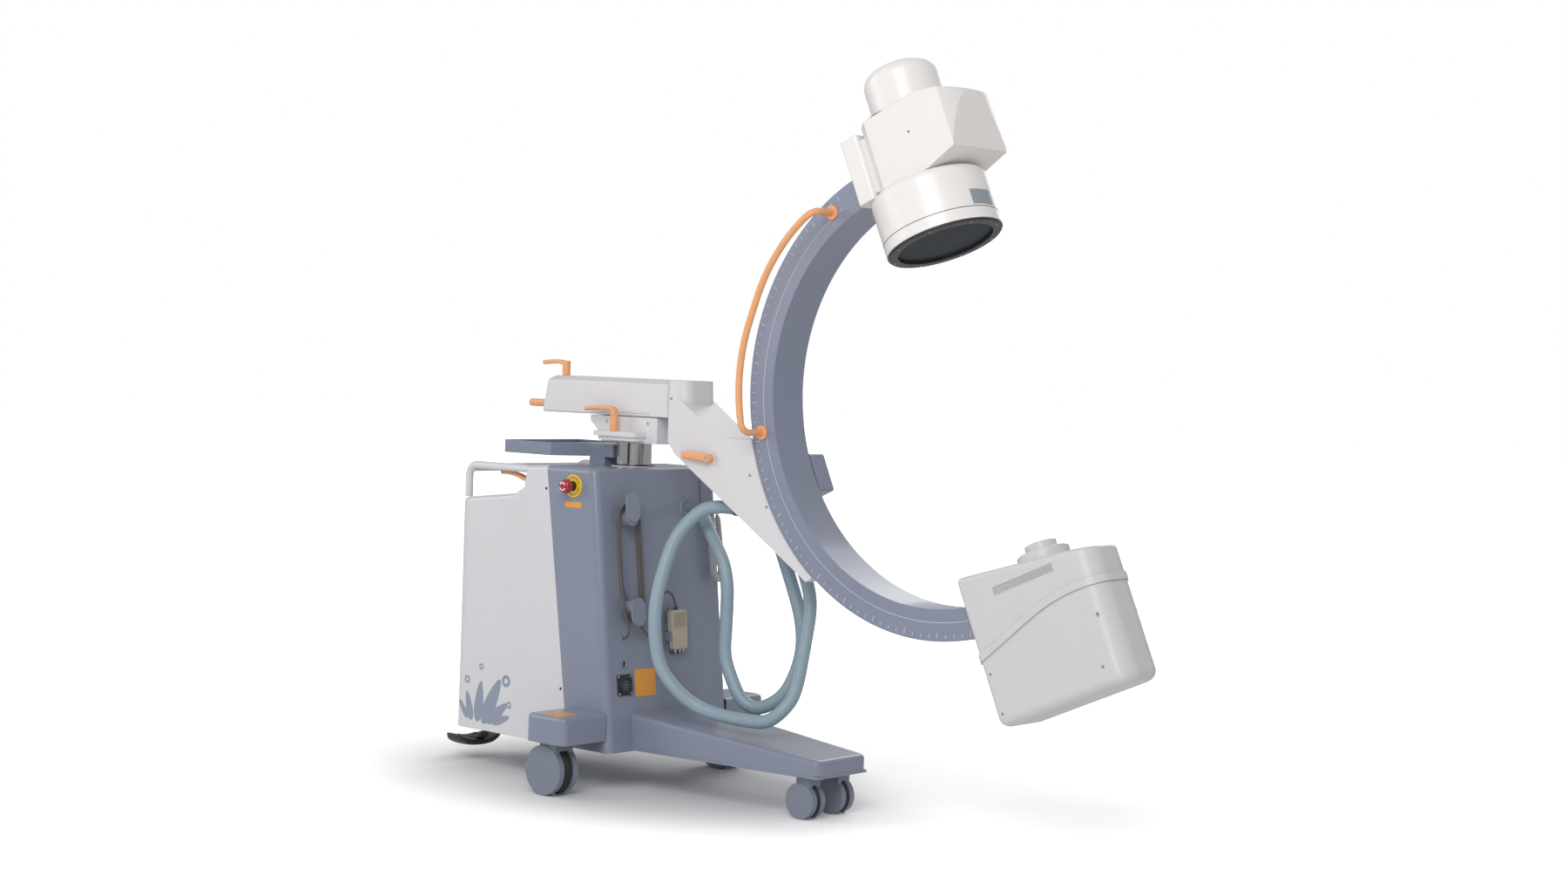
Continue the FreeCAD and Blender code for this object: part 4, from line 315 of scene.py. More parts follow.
def wear_group() -> bpy.types.NodeTree:
    """Builds the group for rubbed edges and settled dust.

    Returns:
        A group that gives a colour, a softened normal and an edge mask.
    """
    tree = new_group(
        "edges_and_dust",
        (("Colour", "Color"), ("Edge", "Float", 0.1), ("Radius", "Float", 0.002), ("Dust", "Float", 0.03)),
        (("Colour", "Color"), ("Normal", "Vector"), ("Mask", "Float")),
    )
    work = NodeTree(tree)
    given, result = work.node("NodeGroupInput"), work.node("NodeGroupOutput")
    bevel, real = work.node("ShaderNodeBevel", samples=4), work.node("ShaderNodeNewGeometry")
    work.join(given.outputs["Radius"], bevel.inputs["Radius"])
    match = work.node("ShaderNodeVectorMath", operation="DOT_PRODUCT")
    work.join(bevel.outputs[0], match.inputs[0])
    work.join(real.outputs["Normal"], match.inputs[1])
    bare = work.maths("MULTIPLY", work.maths("SUBTRACT", 1.0, match.outputs["Value"]), 4.0)
    bare = work.maths("MINIMUM", bare, 1.0)
    place = work.node("ShaderNodeTexCoord")
    patch = work.node("ShaderNodeTexNoise", in_2=30.0, in_3=3.0)
    work.join(place.outputs["Object"], patch.inputs[0])
    mask = work.maths("MULTIPLY", work.maths("MULTIPLY", bare, patch.outputs[0]), given.outputs["Edge"])
    lighter = work.node("ShaderNodeMix", data_type="RGBA", in_7=(0.75, 0.75, 0.76, 1))
    work.join(mask, lighter.inputs[0])
    work.join(given.outputs["Colour"], lighter.inputs[6])
    facing = work.node("ShaderNodeSeparateXYZ")
    work.join(real.outputs["Normal"], facing.inputs[0])
    upward = work.maths("MULTIPLY", work.maths("MAXIMUM", facing.outputs[2], 0.0), patch.outputs[0])
    settled = work.maths("MULTIPLY", upward, given.outputs["Dust"])
    dusty = work.node("ShaderNodeMix", data_type="RGBA", in_7=(0.6, 0.58, 0.55, 1))
    work.join(settled, dusty.inputs[0])
    work.join(lighter.outputs[2], dusty.inputs[6])
    work.join(dusty.outputs[2], result.inputs["Colour"])
    work.join(bevel.outputs[0], result.inputs["Normal"])
    work.join(mask, result.inputs["Mask"])
    return tree


class Paint:
    """Builds each finish's material once and hands it out."""

    def __init__(self) -> None:
        """Builds the shared groups and every material."""
        self.surface = surface_group()
        self.wear = wear_group()
        self.materials = {finish.look: self.material(finish) for finish in FINISHES}

    def __getitem__(self, look: Look) -> bpy.types.Material:
        """The material of a look."""
        return self.materials[look]

    def material(self, finish: Finish) -> bpy.types.Material:
        """Builds one finish's material.

        Args:
            finish: The colour and sizes of the surface.

        Returns:
            The material, with its Principled shader outside the groups.
        """
        material = bpy.data.materials.new(finish.look.value)
        material.use_nodes = True
        material.diffuse_color = (*finish.colour, 1)
        tree = material.node_tree
        work = NodeTree(tree)
        shader = tree.nodes["Principled BSDF"]
        preset(shader, {"IOR": finish.ior, "Metallic": finish.metallic, "Coat Weight": finish.coat,
                        "Coat Roughness": 0.12})
        surface = work.node("ShaderNodeGroup", node_tree=self.surface)
        preset(surface, {"Colour": (*finish.colour, 1), "Roughness": finish.roughness,
                         "Mottle": finish.mottle, "Grain": finish.grain})
        wear = work.node("ShaderNodeGroup", node_tree=self.wear)
        preset(wear, {"Edge": finish.edge, "Radius": finish.edge_radius, "Dust": finish.dust})
        bump = work.node("ShaderNodeBump")
        preset(bump, {"Strength": finish.bump, "Distance": 0.0004})
        work.join(surface.outputs["Colour"], wear.inputs["Colour"])
        work.join(wear.outputs["Colour"], shader.inputs["Base Color"])
        work.join(surface.outputs["Roughness"], shader.inputs["Roughness"])
        work.join(surface.outputs["Height"], bump.inputs["Height"])
        work.join(wear.outputs["Normal"], bump.inputs["Normal"])
        work.join(bump.outputs[0], shader.inputs["Normal"])
        return material


# Meshes


def linked(name: str, data: bpy.types.ID) -> bpy.types.Object:
    """Makes an object of some data and links it into the scene."""
    item = bpy.data.objects.new(name, data)
    bpy.context.scene.collection.objects.link(item)
    return item


def outline_round(points: Profile, radius: float, steps: int = 6) -> list[tuple[float, float]]:
    """Rounds every corner of a closed outline.

    Args:
        points: The corners in order.
        radius: The corner radius, less where a side is short.
        steps: How many points make one corner.

    Returns:
        The rounded outline.
    """
    done = []
    count = len(points)
    for index in range(count):
        here = Vector(points[index])
        back, ahead = Vector(points[index - 1]) - here, Vector(points[(index + 1) % count]) - here
        half = back.angle(ahead) / 2
        if half > math.radians(88):
            done.append(tuple(here))
            continue
        cut = min(radius / math.tan(half), 0.45 * back.length, 0.45 * ahead.length)
        first, last = here + back.normalized() * cut, here + ahead.normalized() * cut
        for step in range(steps + 1):
            t = step / steps
            point = first * (1 - t) ** 2 + here * (2 * t * (1 - t)) + last * t ** 2
            done.append((point.x, point.y))
    return done


def eased(stations: Sequence[Sequence[float]], steps: int = 6) -> list[tuple[float, ...]]:
    """Fills in smooth stations between those given.

    Args:
        stations: Rows of numbers that a smooth line passes.
        steps: How many rows each stretch gets.

    Returns:
        The longer list of rows.
    """
    rows = [stations[0], *stations, stations[-1]]
    full = []
    for a, b, c, d in zip(rows, rows[1:], rows[2:], rows[3:]):
        for step in range(steps):
            t = step / steps
            full.append(tuple(
                0.5 * (2 * q + (r - p) * t + (2 * p - 5 * q + 4 * r - s) * t * t
                       + (3 * q - p - 3 * r + s) * t ** 3)
                for p, q, r, s in zip(a, b, c, d)
            ))
    full.append(tuple(stations[-1]))
    return full


class Form:
    """One piece's mesh, gathered in its frame's millimetres."""

    def __init__(self, name: str, placed: Matrix = CART) -> None:
        """Starts an empty mesh.

        Args:
            name: The piece's name.
            placed: The frame that its numbers are in.
        """
        self.name = name
        self.placed = placed
        self.mesh = bmesh.new()

    def ring(self, points: Iterable[Sequence[float]], place: Matrix) -> Ring:
        """Adds one ring of vertices, carried by a matrix."""
        return [self.mesh.verts.new(place @ Vector(point)) for point in points]

    def bridge(self, first: Ring, last: Ring) -> None:
        """Adds the faces between two rings of one length."""
        count = len(first)
        for index in range(count):
            after = (index + 1) % count
            self.mesh.faces.new((first[index], first[after], last[after], last[index]))

    def lathe(
        self, profile: Profile, place: Matrix | None = None, sides: int = 48, closed: bool = False
    ) -> "Form":
        """Turns a profile of (radius, along) about the place's +Z.

        Args:
            profile: Radius and place along the axis, from one end to the other.
            place: Where the axis lies, the frame's own +Z if None.
            sides: How many sides the turned form has.
            closed: Whether the profile is a closed loop, as for a ring.

        Returns:
            The form itself.
        """
        place = place or Matrix.Identity(4)
        rings = []
        for radius, along in profile:
            if radius < 1e-6:
                rings.append([self.mesh.verts.new(place @ Vector((0, 0, along)))])
            else:
                points = [(*on_circle(radius, 2 * math.pi * index / sides), along) for index in range(sides)]
                rings.append(self.ring(points, place))
        for first, last in zip(rings, rings[1:] + rings[:1] if closed else rings[1:]):
            if len(first) == 1 and len(last) == 1:
                continue
            if len(first) == 1 or len(last) == 1:
                tip, loop = (first[0], last) if len(first) == 1 else (last[0], first)
                for index in range(sides):
                    pair = loop[index], loop[(index + 1) % sides]
                    self.mesh.faces.new((tip, *(pair if len(first) > 1 else pair[::-1])))
            else:
                self.bridge(first, last)
        if not closed:
            for loop in (rings[0], rings[-1]):
                if len(loop) > 1:
                    self.mesh.faces.new(loop)
        return self

    def prism(self, outline: Profile, low: float, high: float, place: Matrix | None = None) -> "Form":
        """Draws an outline out along the place's +Z, from low to high."""
        place = place or Matrix.Identity(4)
        return self.skin([self.ring([(x, y, along) for x, y in outline], place) for along in (low, high)])

    def side_prism(self, outline: Profile, near: float, far: float) -> "Form":
        """Draws an outline of (x, z) out along Y, from near to far."""
        place = Matrix(((1, 0, 0, 0), (0, 0, 1, 0), (0, 1, 0, 0), (0, 0, 0, 1)))
        return self.prism(outline, near, far, place)

    def box(self, low: Point, high: Point, place: Matrix | None = None) -> "Form":
        """A box between two corners."""
        return self.prism(rectangle(*low[:2], *high[:2]), low[2], high[2], place)

    def tube(self, points: Sequence[Sequence[float]], radius: float | Sequence[float], sides: int) -> "Form":
        """A round tube along points, turned as little as possible on the way.

        Args:
            points: The places that the tube's middle passes.
            radius: The tube's radius, or one for each point.
            sides: How many sides it has.

        Returns:
            The form itself.
        """
        spots = [Vector(point) for point in points]
        side = None
        rings = []
        for index, spot in enumerate(spots):
            before = spots[index - 1] if index else spot
            after = spots[index + 1] if index < len(spots) - 1 else spot
            way = (after - before).normalized()
            if side is None:
                side = way.orthogonal().normalized()
            side = (side - way * side.dot(way)).normalized()
            up = way.cross(side)
            wide = radius if isinstance(radius, (int, float)) else radius[index]
            turn = [2 * math.pi * step / sides for step in range(sides)]
            ring = [spot + (side * math.cos(a) + up * math.sin(a)) * wide for a in turn]
            rings.append([self.mesh.verts.new(point) for point in ring])
        return self.skin(rings)

    def blade(
        self, stations: Sequence[Sequence[float]], flat: Axis, sides: int = 24, square: float = 0.55
    ) -> "Form":
        """A bar with a soft rectangular section that changes along its way, closed by round ends.

        Args:
            stations: Place, half width and half thickness at each step.
            flat: The direction of the thickness.
            sides: How many sides the section has.
            square: How square the section is, 1 for an ellipse and less for a box.

        Returns:
            The form itself.
        """
        spots = [Vector(station[:3]) for station in stations]
        sizes = [station[3:5] for station in stations]
        end = len(spots) - 1
        ways = [(spots[min(i + 1, end)] - spots[max(i - 1, 0)]).normalized() for i in range(end + 1)]
        ends = []
        for index, sign, shares in ((0, -1, END_SHARES), (-1, 1, END_SHARES[::-1])):
            reach = min(sizes[index])
            ends.append([
                (spots[index] + ways[index] * sign * reach * math.sqrt(1 - share * share), ways[index],
                 *(size - reach * (1 - share) for size in sizes[index]))
                for share in shares
            ])
        rings = []
        up = normal = Vector(flat.value)
        middle = [(spot, way, *size) for spot, way, size in zip(spots, ways, sizes)]
        for spot, way, half, thick in (*ends[0], *middle, *ends[1]):
            level = normal - way * normal.dot(way)
            up = level.normalized() if level.length > 0.2 else up
            across = way.cross(up)
            ring = []
            for step in range(sides):
                c, s = math.cos(2 * math.pi * step / sides), math.sin(2 * math.pi * step / sides)
                out, over = math.copysign(abs(c) ** square, c), math.copysign(abs(s) ** square, s)
                ring.append(self.mesh.verts.new(spot + across * half * out + up * thick * over))
            rings.append(ring)
        return self.skin(rings)

    def skin(self, rings: list[Ring]) -> "Form":
        """Joins rings one after the other and closes both ends."""
        for first, last in zip(rings, rings[1:]):
            self.bridge(first, last)
        self.mesh.faces.new(rings[0][::-1])
        self.mesh.faces.new(rings[-1])
        return self

    def screw(self, place: Matrix, radius: float = 4.0, height: float = 1.6) -> "Form":
        """A low round screw head with a cross slot pressed in."""
        self.lathe([(radius, 0), (radius, height * 0.5), (radius * 0.8, height), (radius * 0.35, height),
                    (radius * 0.3, height * 0.45), (0, height * 0.45)], place, 20)
        return self

    def made(
        self,
        material: bpy.types.Material,
        body: str | None,
        smooth: float = 35.0,
        bevel: float = 0.0,
    ) -> bpy.types.Object:
        """Makes the piece's object and lets it ride on its body.

        Args:
            material: The piece's material.
            body: The CAD body that it rides on, or None where it lies between two and rides on neither.
            smooth: Edges flatter than this many degrees are shaded smooth.
            bevel: A bevel on the sharp edges, in millimetres.

        Returns:
            The new object.
        """
        self.mesh.transform(self.placed)
        bmesh.ops.recalc_face_normals(self.mesh, faces=self.mesh.faces)
        data = bpy.data.meshes.new(self.name)
        self.mesh.to_mesh(data)
        self.mesh.free()
        item = linked(self.name, data)
        data.materials.append(material)
        data.polygons.foreach_set("use_smooth", [True] * len(data.polygons))
        if bevel:
            rounder = item.modifiers.new("bevel", "BEVEL")
            rounder.width = bevel * MM
            rounder.segments = 3
            rounder.limit_method = "ANGLE"
            rounder.angle_limit = math.radians(40)
        data.set_sharp_from_angle(angle=math.radians(smooth))
        if body:
            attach(item, body)
        log.info("piece %s on %s", self.name, body or "two bodies")
        return item


CASTERS = tuple(f"{end}_{side}_caster" for end in ("rear", "front") for side in ("right", "left"))
CAD_LOOKS = {
    Look.CREAM: ("rear_cover", "push_handle"),
    Look.WARM: ("ii_housing", "ii_camera_cover", "ii_drum", "ii_mount"),
    Look.HEAD: ("tube_cover", "tube_base"),
    Look.BLUE: ("front_housing", "leg_cover", "outrigger_covers", "cord_hooks", "tray", "cable_entry_box"),
    Look.BLUE_METAL: ("c_arc", "base_frame"),
    Look.PALE: ("arm_housing", "c_bracket", "swivel_block", "outer_column"),
    Look.ORANGE: ("arm_rear_grip", "orbit_lock_lever", "steering_lever", "swivel_lever", "arm_lock_lever",
                  "grab_handle"),
    Look.CHROME: ("inner_column", "actuator_rod", "arm_rails"),
    Look.STEEL: ("slide_carriage", "pivot_shaft", "roller_upper", "roller_lower"),
    Look.DARK: ("brake_pedal", "ii_trim_ring", "front_sockets", "power_unit", "tube_monoblock",
                "intensifier_tube", "actuator_tube"),
    Look.CASTER: tuple(f"{name}_fork" for name in CASTERS),
    Look.TYRE: tuple(f"{name}_wheel" for name in CASTERS),
    Look.GREY: ("hose_clamps", "hose_elbow"),
    Look.HOSE: ("hose_a", "hose_b"),
    Look.CABLE: ("switch_cable", "cable_hank"),
    Look.CURL: ("curly_cord",),
    Look.RED: ("estop_button",),
    Look.YELLOW: ("estop_ring",),
    Look.BEIGE: ("hand_switch", "switch_holder"),
    Look.GLASS: ("ii_window",),
}


def dress_cad(paint: Paint) -> None:
    """Gives every CAD node its material and smooth shading between sharp edges."""
    for look, names in CAD_LOOKS.items():
        for name in names:
            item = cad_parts[name]
            item.data.materials.clear()
            item.data.materials.append(paint[look])
            item.data.polygons.foreach_set("use_smooth", [True] * len(item.data.polygons))
            item.data.set_sharp_from_angle(angle=math.radians(32))
            log.info("cad node %s is %s", name, look.value)


# Cords


def spline_points(controls: Sequence[Point], placed: Matrix, detail: int = 10) -> list[Vector]:
    """Reads the points of a smooth NURBS spline with a route's points as controls.

    Args:
        controls: The route's points in its frame.
        placed: The frame that they are in.
        detail: How many points the spline has per control point.

    Returns:
        The spline's points in world metres, from one end to the other.
    """
    data = bpy.data.curves.new("route", "CURVE")
    data.dimensions = "3D"
    data.resolution_u = detail
    spline = data.splines.new("NURBS")
    spline.points.add(len(controls) - 1)
    for point, control in zip(spline.points, controls):
        point.co = (*(placed @ Vector(control)), 1)
    spline.order_u = 3
    spline.use_endpoint_u = True
    item = bpy.data.objects.new("route", data)
    mesh = bpy.data.meshes.new_from_object(item)
    points = [vertex.co.copy() for vertex in mesh.vertices]
    bpy.data.objects.remove(item)
    bpy.data.curves.remove(data)
    bpy.data.meshes.remove(mesh)
    return points


def run_length(points: Sequence[Vector]) -> float:
    """The length of a line through points."""
    return sum((b - a).length for a, b in zip(points, points[1:]))


METRES = Matrix.Identity(4)

HOSE_A = (
    (0.384, 0, 0.784), (0.331, -0.02, 0.788), (0.296, -0.05, 0.767), (0.256, -0.09, 0.702),
    (0.255, -0.13, 0.619), (0.251, -0.16, 0.504), (0.270, -0.16, 0.365), (0.318, -0.14, 0.298),
    (0.367, -0.1, 0.249), (0.444, -0.08, 0.234), (0.504, -0.06, 0.228), (0.564, -0.04, 0.226),
    (0.598, -0.01, 0.263), (0.612, 0.02, 0.308), (0.612, 0.05, 0.437), (0.611, 0.072, 0.537),
    (0.578, 0.088, 0.603), (0.530, 0.092, 0.680), (0.506, 0.092, 0.743),
)
HOSE_B = (
    (0.229, 0.05, 0.748), (0.277, 0.02, 0.715), (0.373, 0, 0.613), (0.370, 0.002, 0.459),
    (0.367, 0, 0.387), (0.392, 0, 0.331), (0.433, 0.002, 0.265), (0.480, 0.02, 0.245),
    (0.544, 0.05, 0.286), (0.570, 0.07, 0.358), (0.571, 0.09, 0.427), (0.557, 0.092, 0.507),
    (0.506, 0.092, 0.620), (0.468, 0.092, 0.698), (0.456, 0.092, 0.7452),
)
SWITCH_CABLE_IN = ((0.010, -0.167, 0.306), (0.040, -0.170, 0.318))
SWITCH_CABLE_OUT = (
    (0.027, -0.100, 0.300), (0.030, -0.046, 0.298), (0.030, -0.038, 0.426), (0.026, 0.018, 0.424),
    (0.022, 0.027, 0.3739),
)
CURLY_CORD = (
    (0.025, 0.183, 0.634), (0.026, 0.181, 0.560), (0.027, 0.180, 0.452), (0.027, 0.215, 0.450),
    (0.026, 0.217, 0.560), (0.025, 0.211, 0.634),
)

REACH = Matrix.Translation((COLUMN * MM, 0, 0))
FACE_METRES = FACE @ Matrix.Scale(1 / MM, 4)


@dataclass
class Cords:
    """The two thick hoses, the hand switch's cable and the hanging curly cord."""

    paint: Paint
    hose_radius: float = 0.018
    cable_radius: float = 0.003
    curl_cable: float = 0.0024
    curl_radius: float = 0.0075
    curl_pitch: float = 0.0058
    hank_middle: float = -0.146
    hank_low: float = 0.3892
    hank_high: float = 0.6308
    turns: int = 5

    def hose(self, name: str, points: list[Vector], body: str | None, node: str) -> bpy.types.Object:
        """One mesh tube of the thick hose.

        Args:
            name: The piece's name.
            points: The points that its middle passes.
            body: The body that it rides on, or None where it lies between two and rides on neither.
            node: The CAD node that it stands for.

        Returns:
            The tube.
        """
        form = Form(name, METRES)
        form.tube(points, self.hose_radius, 28)
        item = form.made(self.paint[Look.HOSE], body, 60)
        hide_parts(node)
        return item

    def arc_hose(self) -> None:
        """The hose from the bracket's elbow round to the arc's entry box."""
        points = spline_points(HOSE_A, REACH)
        item = self.hose("arc_hose", points, "bracket", "hose_a")

    def feed_hose(self) -> None:
        """The hose from the cart to the bracket, cut into four lengths of equal run that ride on no body."""
        points = spline_points(HOSE_B, REACH)
        bodies = ("cart", "lift", "swivel", "arm", "bracket")
        along = [run_length(points[:index + 1]) for index in range(len(points))]
        quarter = along[-1] / 4
        log.info("feed hose is %.3f m long", quarter * 4)
        cuts = [min(range(len(along)), key=lambda i: abs(along[i] - part * quarter)) for part in range(5)]
        for index, (first, last) in enumerate(zip(bodies, bodies[1:])):
            run = points[cuts[index]:cuts[index + 1] + 1]
            item = self.hose(f"feed_hose_{index + 1}", run, None, "hose_b")
            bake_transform(item)

    def hank_points(self) -> list[Point]:
        """The cable's wound turns about the two hooks, each a little off the others."""
        chance = random.Random(5)
        points = []
        for turn in range(self.turns):
            radius = (0.0425, 0.0345, 0.0405, 0.0305, 0.0365)[turn]
            depth = 0.0295 - 0.0021 * turn
            for step in range(16):
                top, part = step >= 8, step % 8
                middle = self.hank_high if top else self.hank_low
                if part < 5:
                    angle = math.radians(45 * part + (90 if top else -90))
                    y, z = radius * math.sin(angle), middle - radius * math.cos(angle)
                else:
                    y, other = (-radius, self.hank_low) if top else (radius, self.hank_high)
                    z = middle + (other - middle) * (part - 4) / 4
                wander = 0.0006
                points.append((
                    depth - 0.0021 * step / 16 + chance.uniform(-wander, wander),
                    self.hank_middle + y + chance.uniform(-wander, wander),
                    z,
                ))
        return points

    def switch_cable(self) -> None:
        """The hand switch's cable: out of the grommet, wound on the hooks and over to the switch."""
        route = (*SWITCH_CABLE_IN, *self.hank_points(), *SWITCH_CABLE_OUT)
        points = spline_points(route, FACE_METRES, 6)
        form = Form("switch_lead", METRES)
        form.tube(points, self.cable_radius, 10)
        item = form.made(self.paint[Look.CABLE], "cart", 60)
        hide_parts("switch_cable", "cable_hank")

    def curly_cord(self) -> None:
        """The hanging curly cord, a helix about its smooth line."""
        line = spline_points(CURLY_CORD, FACE_METRES, 24)
        lengths = [0.0]
        for a, b in zip(line, line[1:]):
            lengths.append(lengths[-1] + (b - a).length)
        whole = lengths[-1]
        steps = int(whole / self.curl_pitch * 14)
        place, helix = 0, []
        out = (FACE_METRES.to_3x3() @ Vector((1, 0, 0))).normalized()
        for step in range(steps + 1):
            along = whole * step / steps
            while place < len(line) - 2 and lengths[place + 1] < along:
                place += 1
            share = (along - lengths[place]) / (lengths[place + 1] - lengths[place])
            spot = line[place].lerp(line[place + 1], share)
            way = (line[place + 1] - line[place]).normalized()
            across = way.cross(out).normalized()
            angle = 2 * math.pi * along / self.curl_pitch
            inward = min(along, whole - along) / 0.012
            radius = self.curl_radius * min(1.0, inward)
            helix.append(spot + (out * math.cos(angle) + across * math.sin(angle)) * radius)
        form = Form("curly_lead", METRES)
        form.tube(helix, self.curl_cable, 8)
        item = form.made(self.paint[Look.CURL], "cart", 60)
        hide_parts("curly_cord")

    def build(self) -> None:
        """Makes every cord."""
        self.arc_hose()
        self.feed_hose()
        self.switch_cable()
        self.curly_cord()


@dataclass
class Dressing:
    """What every sub-assembly shares: the finishes and a short way to make a piece."""

    paint: Paint

    def piece(
        self, form: Form, look: Look, body: str, slot: str, *stood_for: str, smooth: float = 35,
        bevel: float = 0,
    ) -> None:
        """Makes a form's object.

        Args:
            form: The finished form.
            look: Its finish.
            body: The body that it rides on.
            slot: The material slot's name; not used.
            stood_for: The CAD nodes that it replaces.
            smooth: Edges flatter than this are shaded smooth.
            bevel: A bevel on the sharp edges, in millimetres.
        """
        item = form.made(self.paint[look], body, smooth, bevel)
        if stood_for:
            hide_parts(*stood_for)

    def turned(
        self, name: str, profile: Profile, place: Matrix | None, sides: int, look: Look, body: str, slot: str,
        *stood_for: str, closed: bool = False, placed: Matrix = CART, smooth: float = 35,
    ) -> None:
        """Makes a piece that is one turned form; what it takes is as in Form.lathe and piece."""
        form = Form(name, placed).lathe(profile, place, sides, closed)
        self.piece(form, look, body, slot, *stood_for, smooth=smooth)


@dataclass
class Controls(Dressing):
    """The stop button, the locking levers, the steering lever and the brake pedal."""

    stop: Point = (13, -240, 825)

    def stop_button(self) -> None:
        """The latching mushroom button on its yellow ring, with bare turning arrows."""
        place = aimed(self.stop, Axis.BACK_Y)
        self.turned(
            "stop_ring", [(13.8, 0), (32, 0), (32, 3.4), (31, 4.6), (26, 5), (21, 4.4), (16, 4.9),
                          (13.8, 4.9)],
            place, 64, Look.YELLOW, "cart", "yellow", "estop_ring", closed=True)
        marks = Form("stop_ring_marks")
        for step in range(26):
            angle = math.radians(step * 12 + (24 if step < 13 else 48))
            turned = place @ Matrix.Rotation(angle, 4, "Z")
            high = 25.5 if step % 3 else 27.5
            marks.box((22, -0.9, 4.3), (high, 0.9, 5.15), turned)
        self.piece(marks, Look.GAP, "cart", "dark_rubber")
        self.turned(
            "stop_stem", [(11, -2), (11, 9), (13, 11), (13, 19), (11.5, 21), (11.5, 24), (0, 24)],
            place, 40, Look.DARK, "estop_button", "dark_rubber")
        self.turned(
            "stop_head", [(11, 22), (15, 22.6), (19, 25), (20, 28.5), (20, 33), (19.2, 37), (17.2, 40.6),
                          (14, 43), (9, 44.2), (0, 44.7)],
            place, 56, Look.RED, "estop_button", "red", "estop_button")
        arrows = Form("stop_arrows")
        for half in (0, math.pi):
            outline = []
            for step in range(11):
                angle = half + math.radians(18 + 11 * step)
                outline.append(on_circle(11.6, angle))
            end = half + math.radians(18 + 110)
            outline += [on_circle(14.2, end), on_circle(10.0, end + 0.42), on_circle(6.4, end)]
            for step in range(10, -1, -1):
                angle = half + math.radians(18 + 11 * step)
                outline.append(on_circle(8.6, angle))
            arrows.prism(outline, 42.4, 44.75, place)
        self.piece(arrows, Look.INK, "estop_button", "red")

    def lever(
        self, name: str, stations: Sequence[Sequence[float]], flat: Axis, hub: Matrix, height: float
    ) -> None:
        """One orange lever: a shaped bar, its round hub and a cap screw.

        Args:
            name: The lever's CAD node, which it replaces, and its body.
            stations: Place, half width and half thickness at each step along it.
            flat: The direction of its thickness.
            hub: Where the hub stands, its +Z away from what it clamps.
            height: The hub's height.
        """
        bar = Form(f"{name}_bar").blade(eased(stations), flat)
        self.piece(bar, Look.ORANGE, name, "orange_grip", name, smooth=50)
        rim = ((11.5, 2), (10, 0), (5.5, 0), (5, 2), (0, 2))
        self.turned(f"{name}_hub", [(11.5, 0), *((radius, height - sink) for radius, sink in rim)], hub, 36,
                    Look.ORANGE, name, "orange_grip")
        screw = ((4.6, 2.4), (4.6, 0.8), (4, 0.2), (2.4, 0.2), (2.2, 1.8), (0, 1.8))
        self.turned(f"{name}_cap", [(radius, height - sink) for radius, sink in screw], hub, 6,
                    Look.STEEL, name, "steel")

    def levers(self) -> None:
        """The four orange levers and the rear grip."""
        self.lever("swivel_lever", (
            (12, -94, 1010, 10, 7), (11, -94, 1030, 10, 7), (0, -94, 1038, 10, 6.5), (-30, -94, 1039, 10, 6),
            (-70, -94, 1037, 10, 6), (-98, -94, 1034, 8.5, 6),
        ), Axis.X, aimed((12, -94, 975.3), Axis.Z), 44)
        self.lever("arm_lock_lever", (
            (-262, -20, 1152, 10, 7), (-280, -20, 1160, 10, 6), (-310, -20, 1161, 10, 6),
            (-350, -20, 1158, 9, 6),
        ), Axis.Z, aimed((-262, -20, 1122.4), Axis.Z), 42)
        self.lever("steering_lever", (
            (-210, -184, 823, 14, 6), (-235, -184, 828, 13, 6), (-270, -184, 838, 12, 6),
            (-305, -184, 843, 12, 6), (-332, -184, 843, 12, 6),
        ), Axis.Z, aimed((-212, -184, 808), Axis.Z), 24)
        self.lever("orbit_lock_lever", (
            (356, -77, 917, 11, 7), (335, -80, 919, 10.5, 6), (300, -80, 922, 10, 6), (265, -80, 923, 9.5, 6),
        ), Axis.Y, aimed((356, -65.4, 917), Axis.BACK_Y), 21)
        grip = Form("rear_grip_bar").blade(eased((
            (-312, 0, 1040, 9, 9), (-340, 0, 1040, 10, 10), (-385, 0, 1040, 11, 11),
            (-420, 0, 1040, 10.5, 10.5),
        )), Axis.Z, square=0.7)
        self.piece(grip, Look.ORANGE, "arm_rear_grip", "orange_grip", "arm_rear_grip", smooth=50)
        self.turned("rear_grip_neck", [(6, 0), (6, 22), (0, 22)], aimed((-291, 0, 1040), Axis.BACK_X), 24,
                    Look.STEEL, "arm_rear_grip", "steel")
        groove = Form("rear_grip_rings")
        for reach in (-334, -341, -348):
            place = aimed((reach, 0, 1040), Axis.BACK_X)
            groove.lathe([(9.5, -1), (11.2, -1), (11.4, 0), (11.2, 1), (9.5, 1)], place, 32, True)
        self.piece(groove, Look.ORANGE, "arm_rear_grip", "orange_grip")

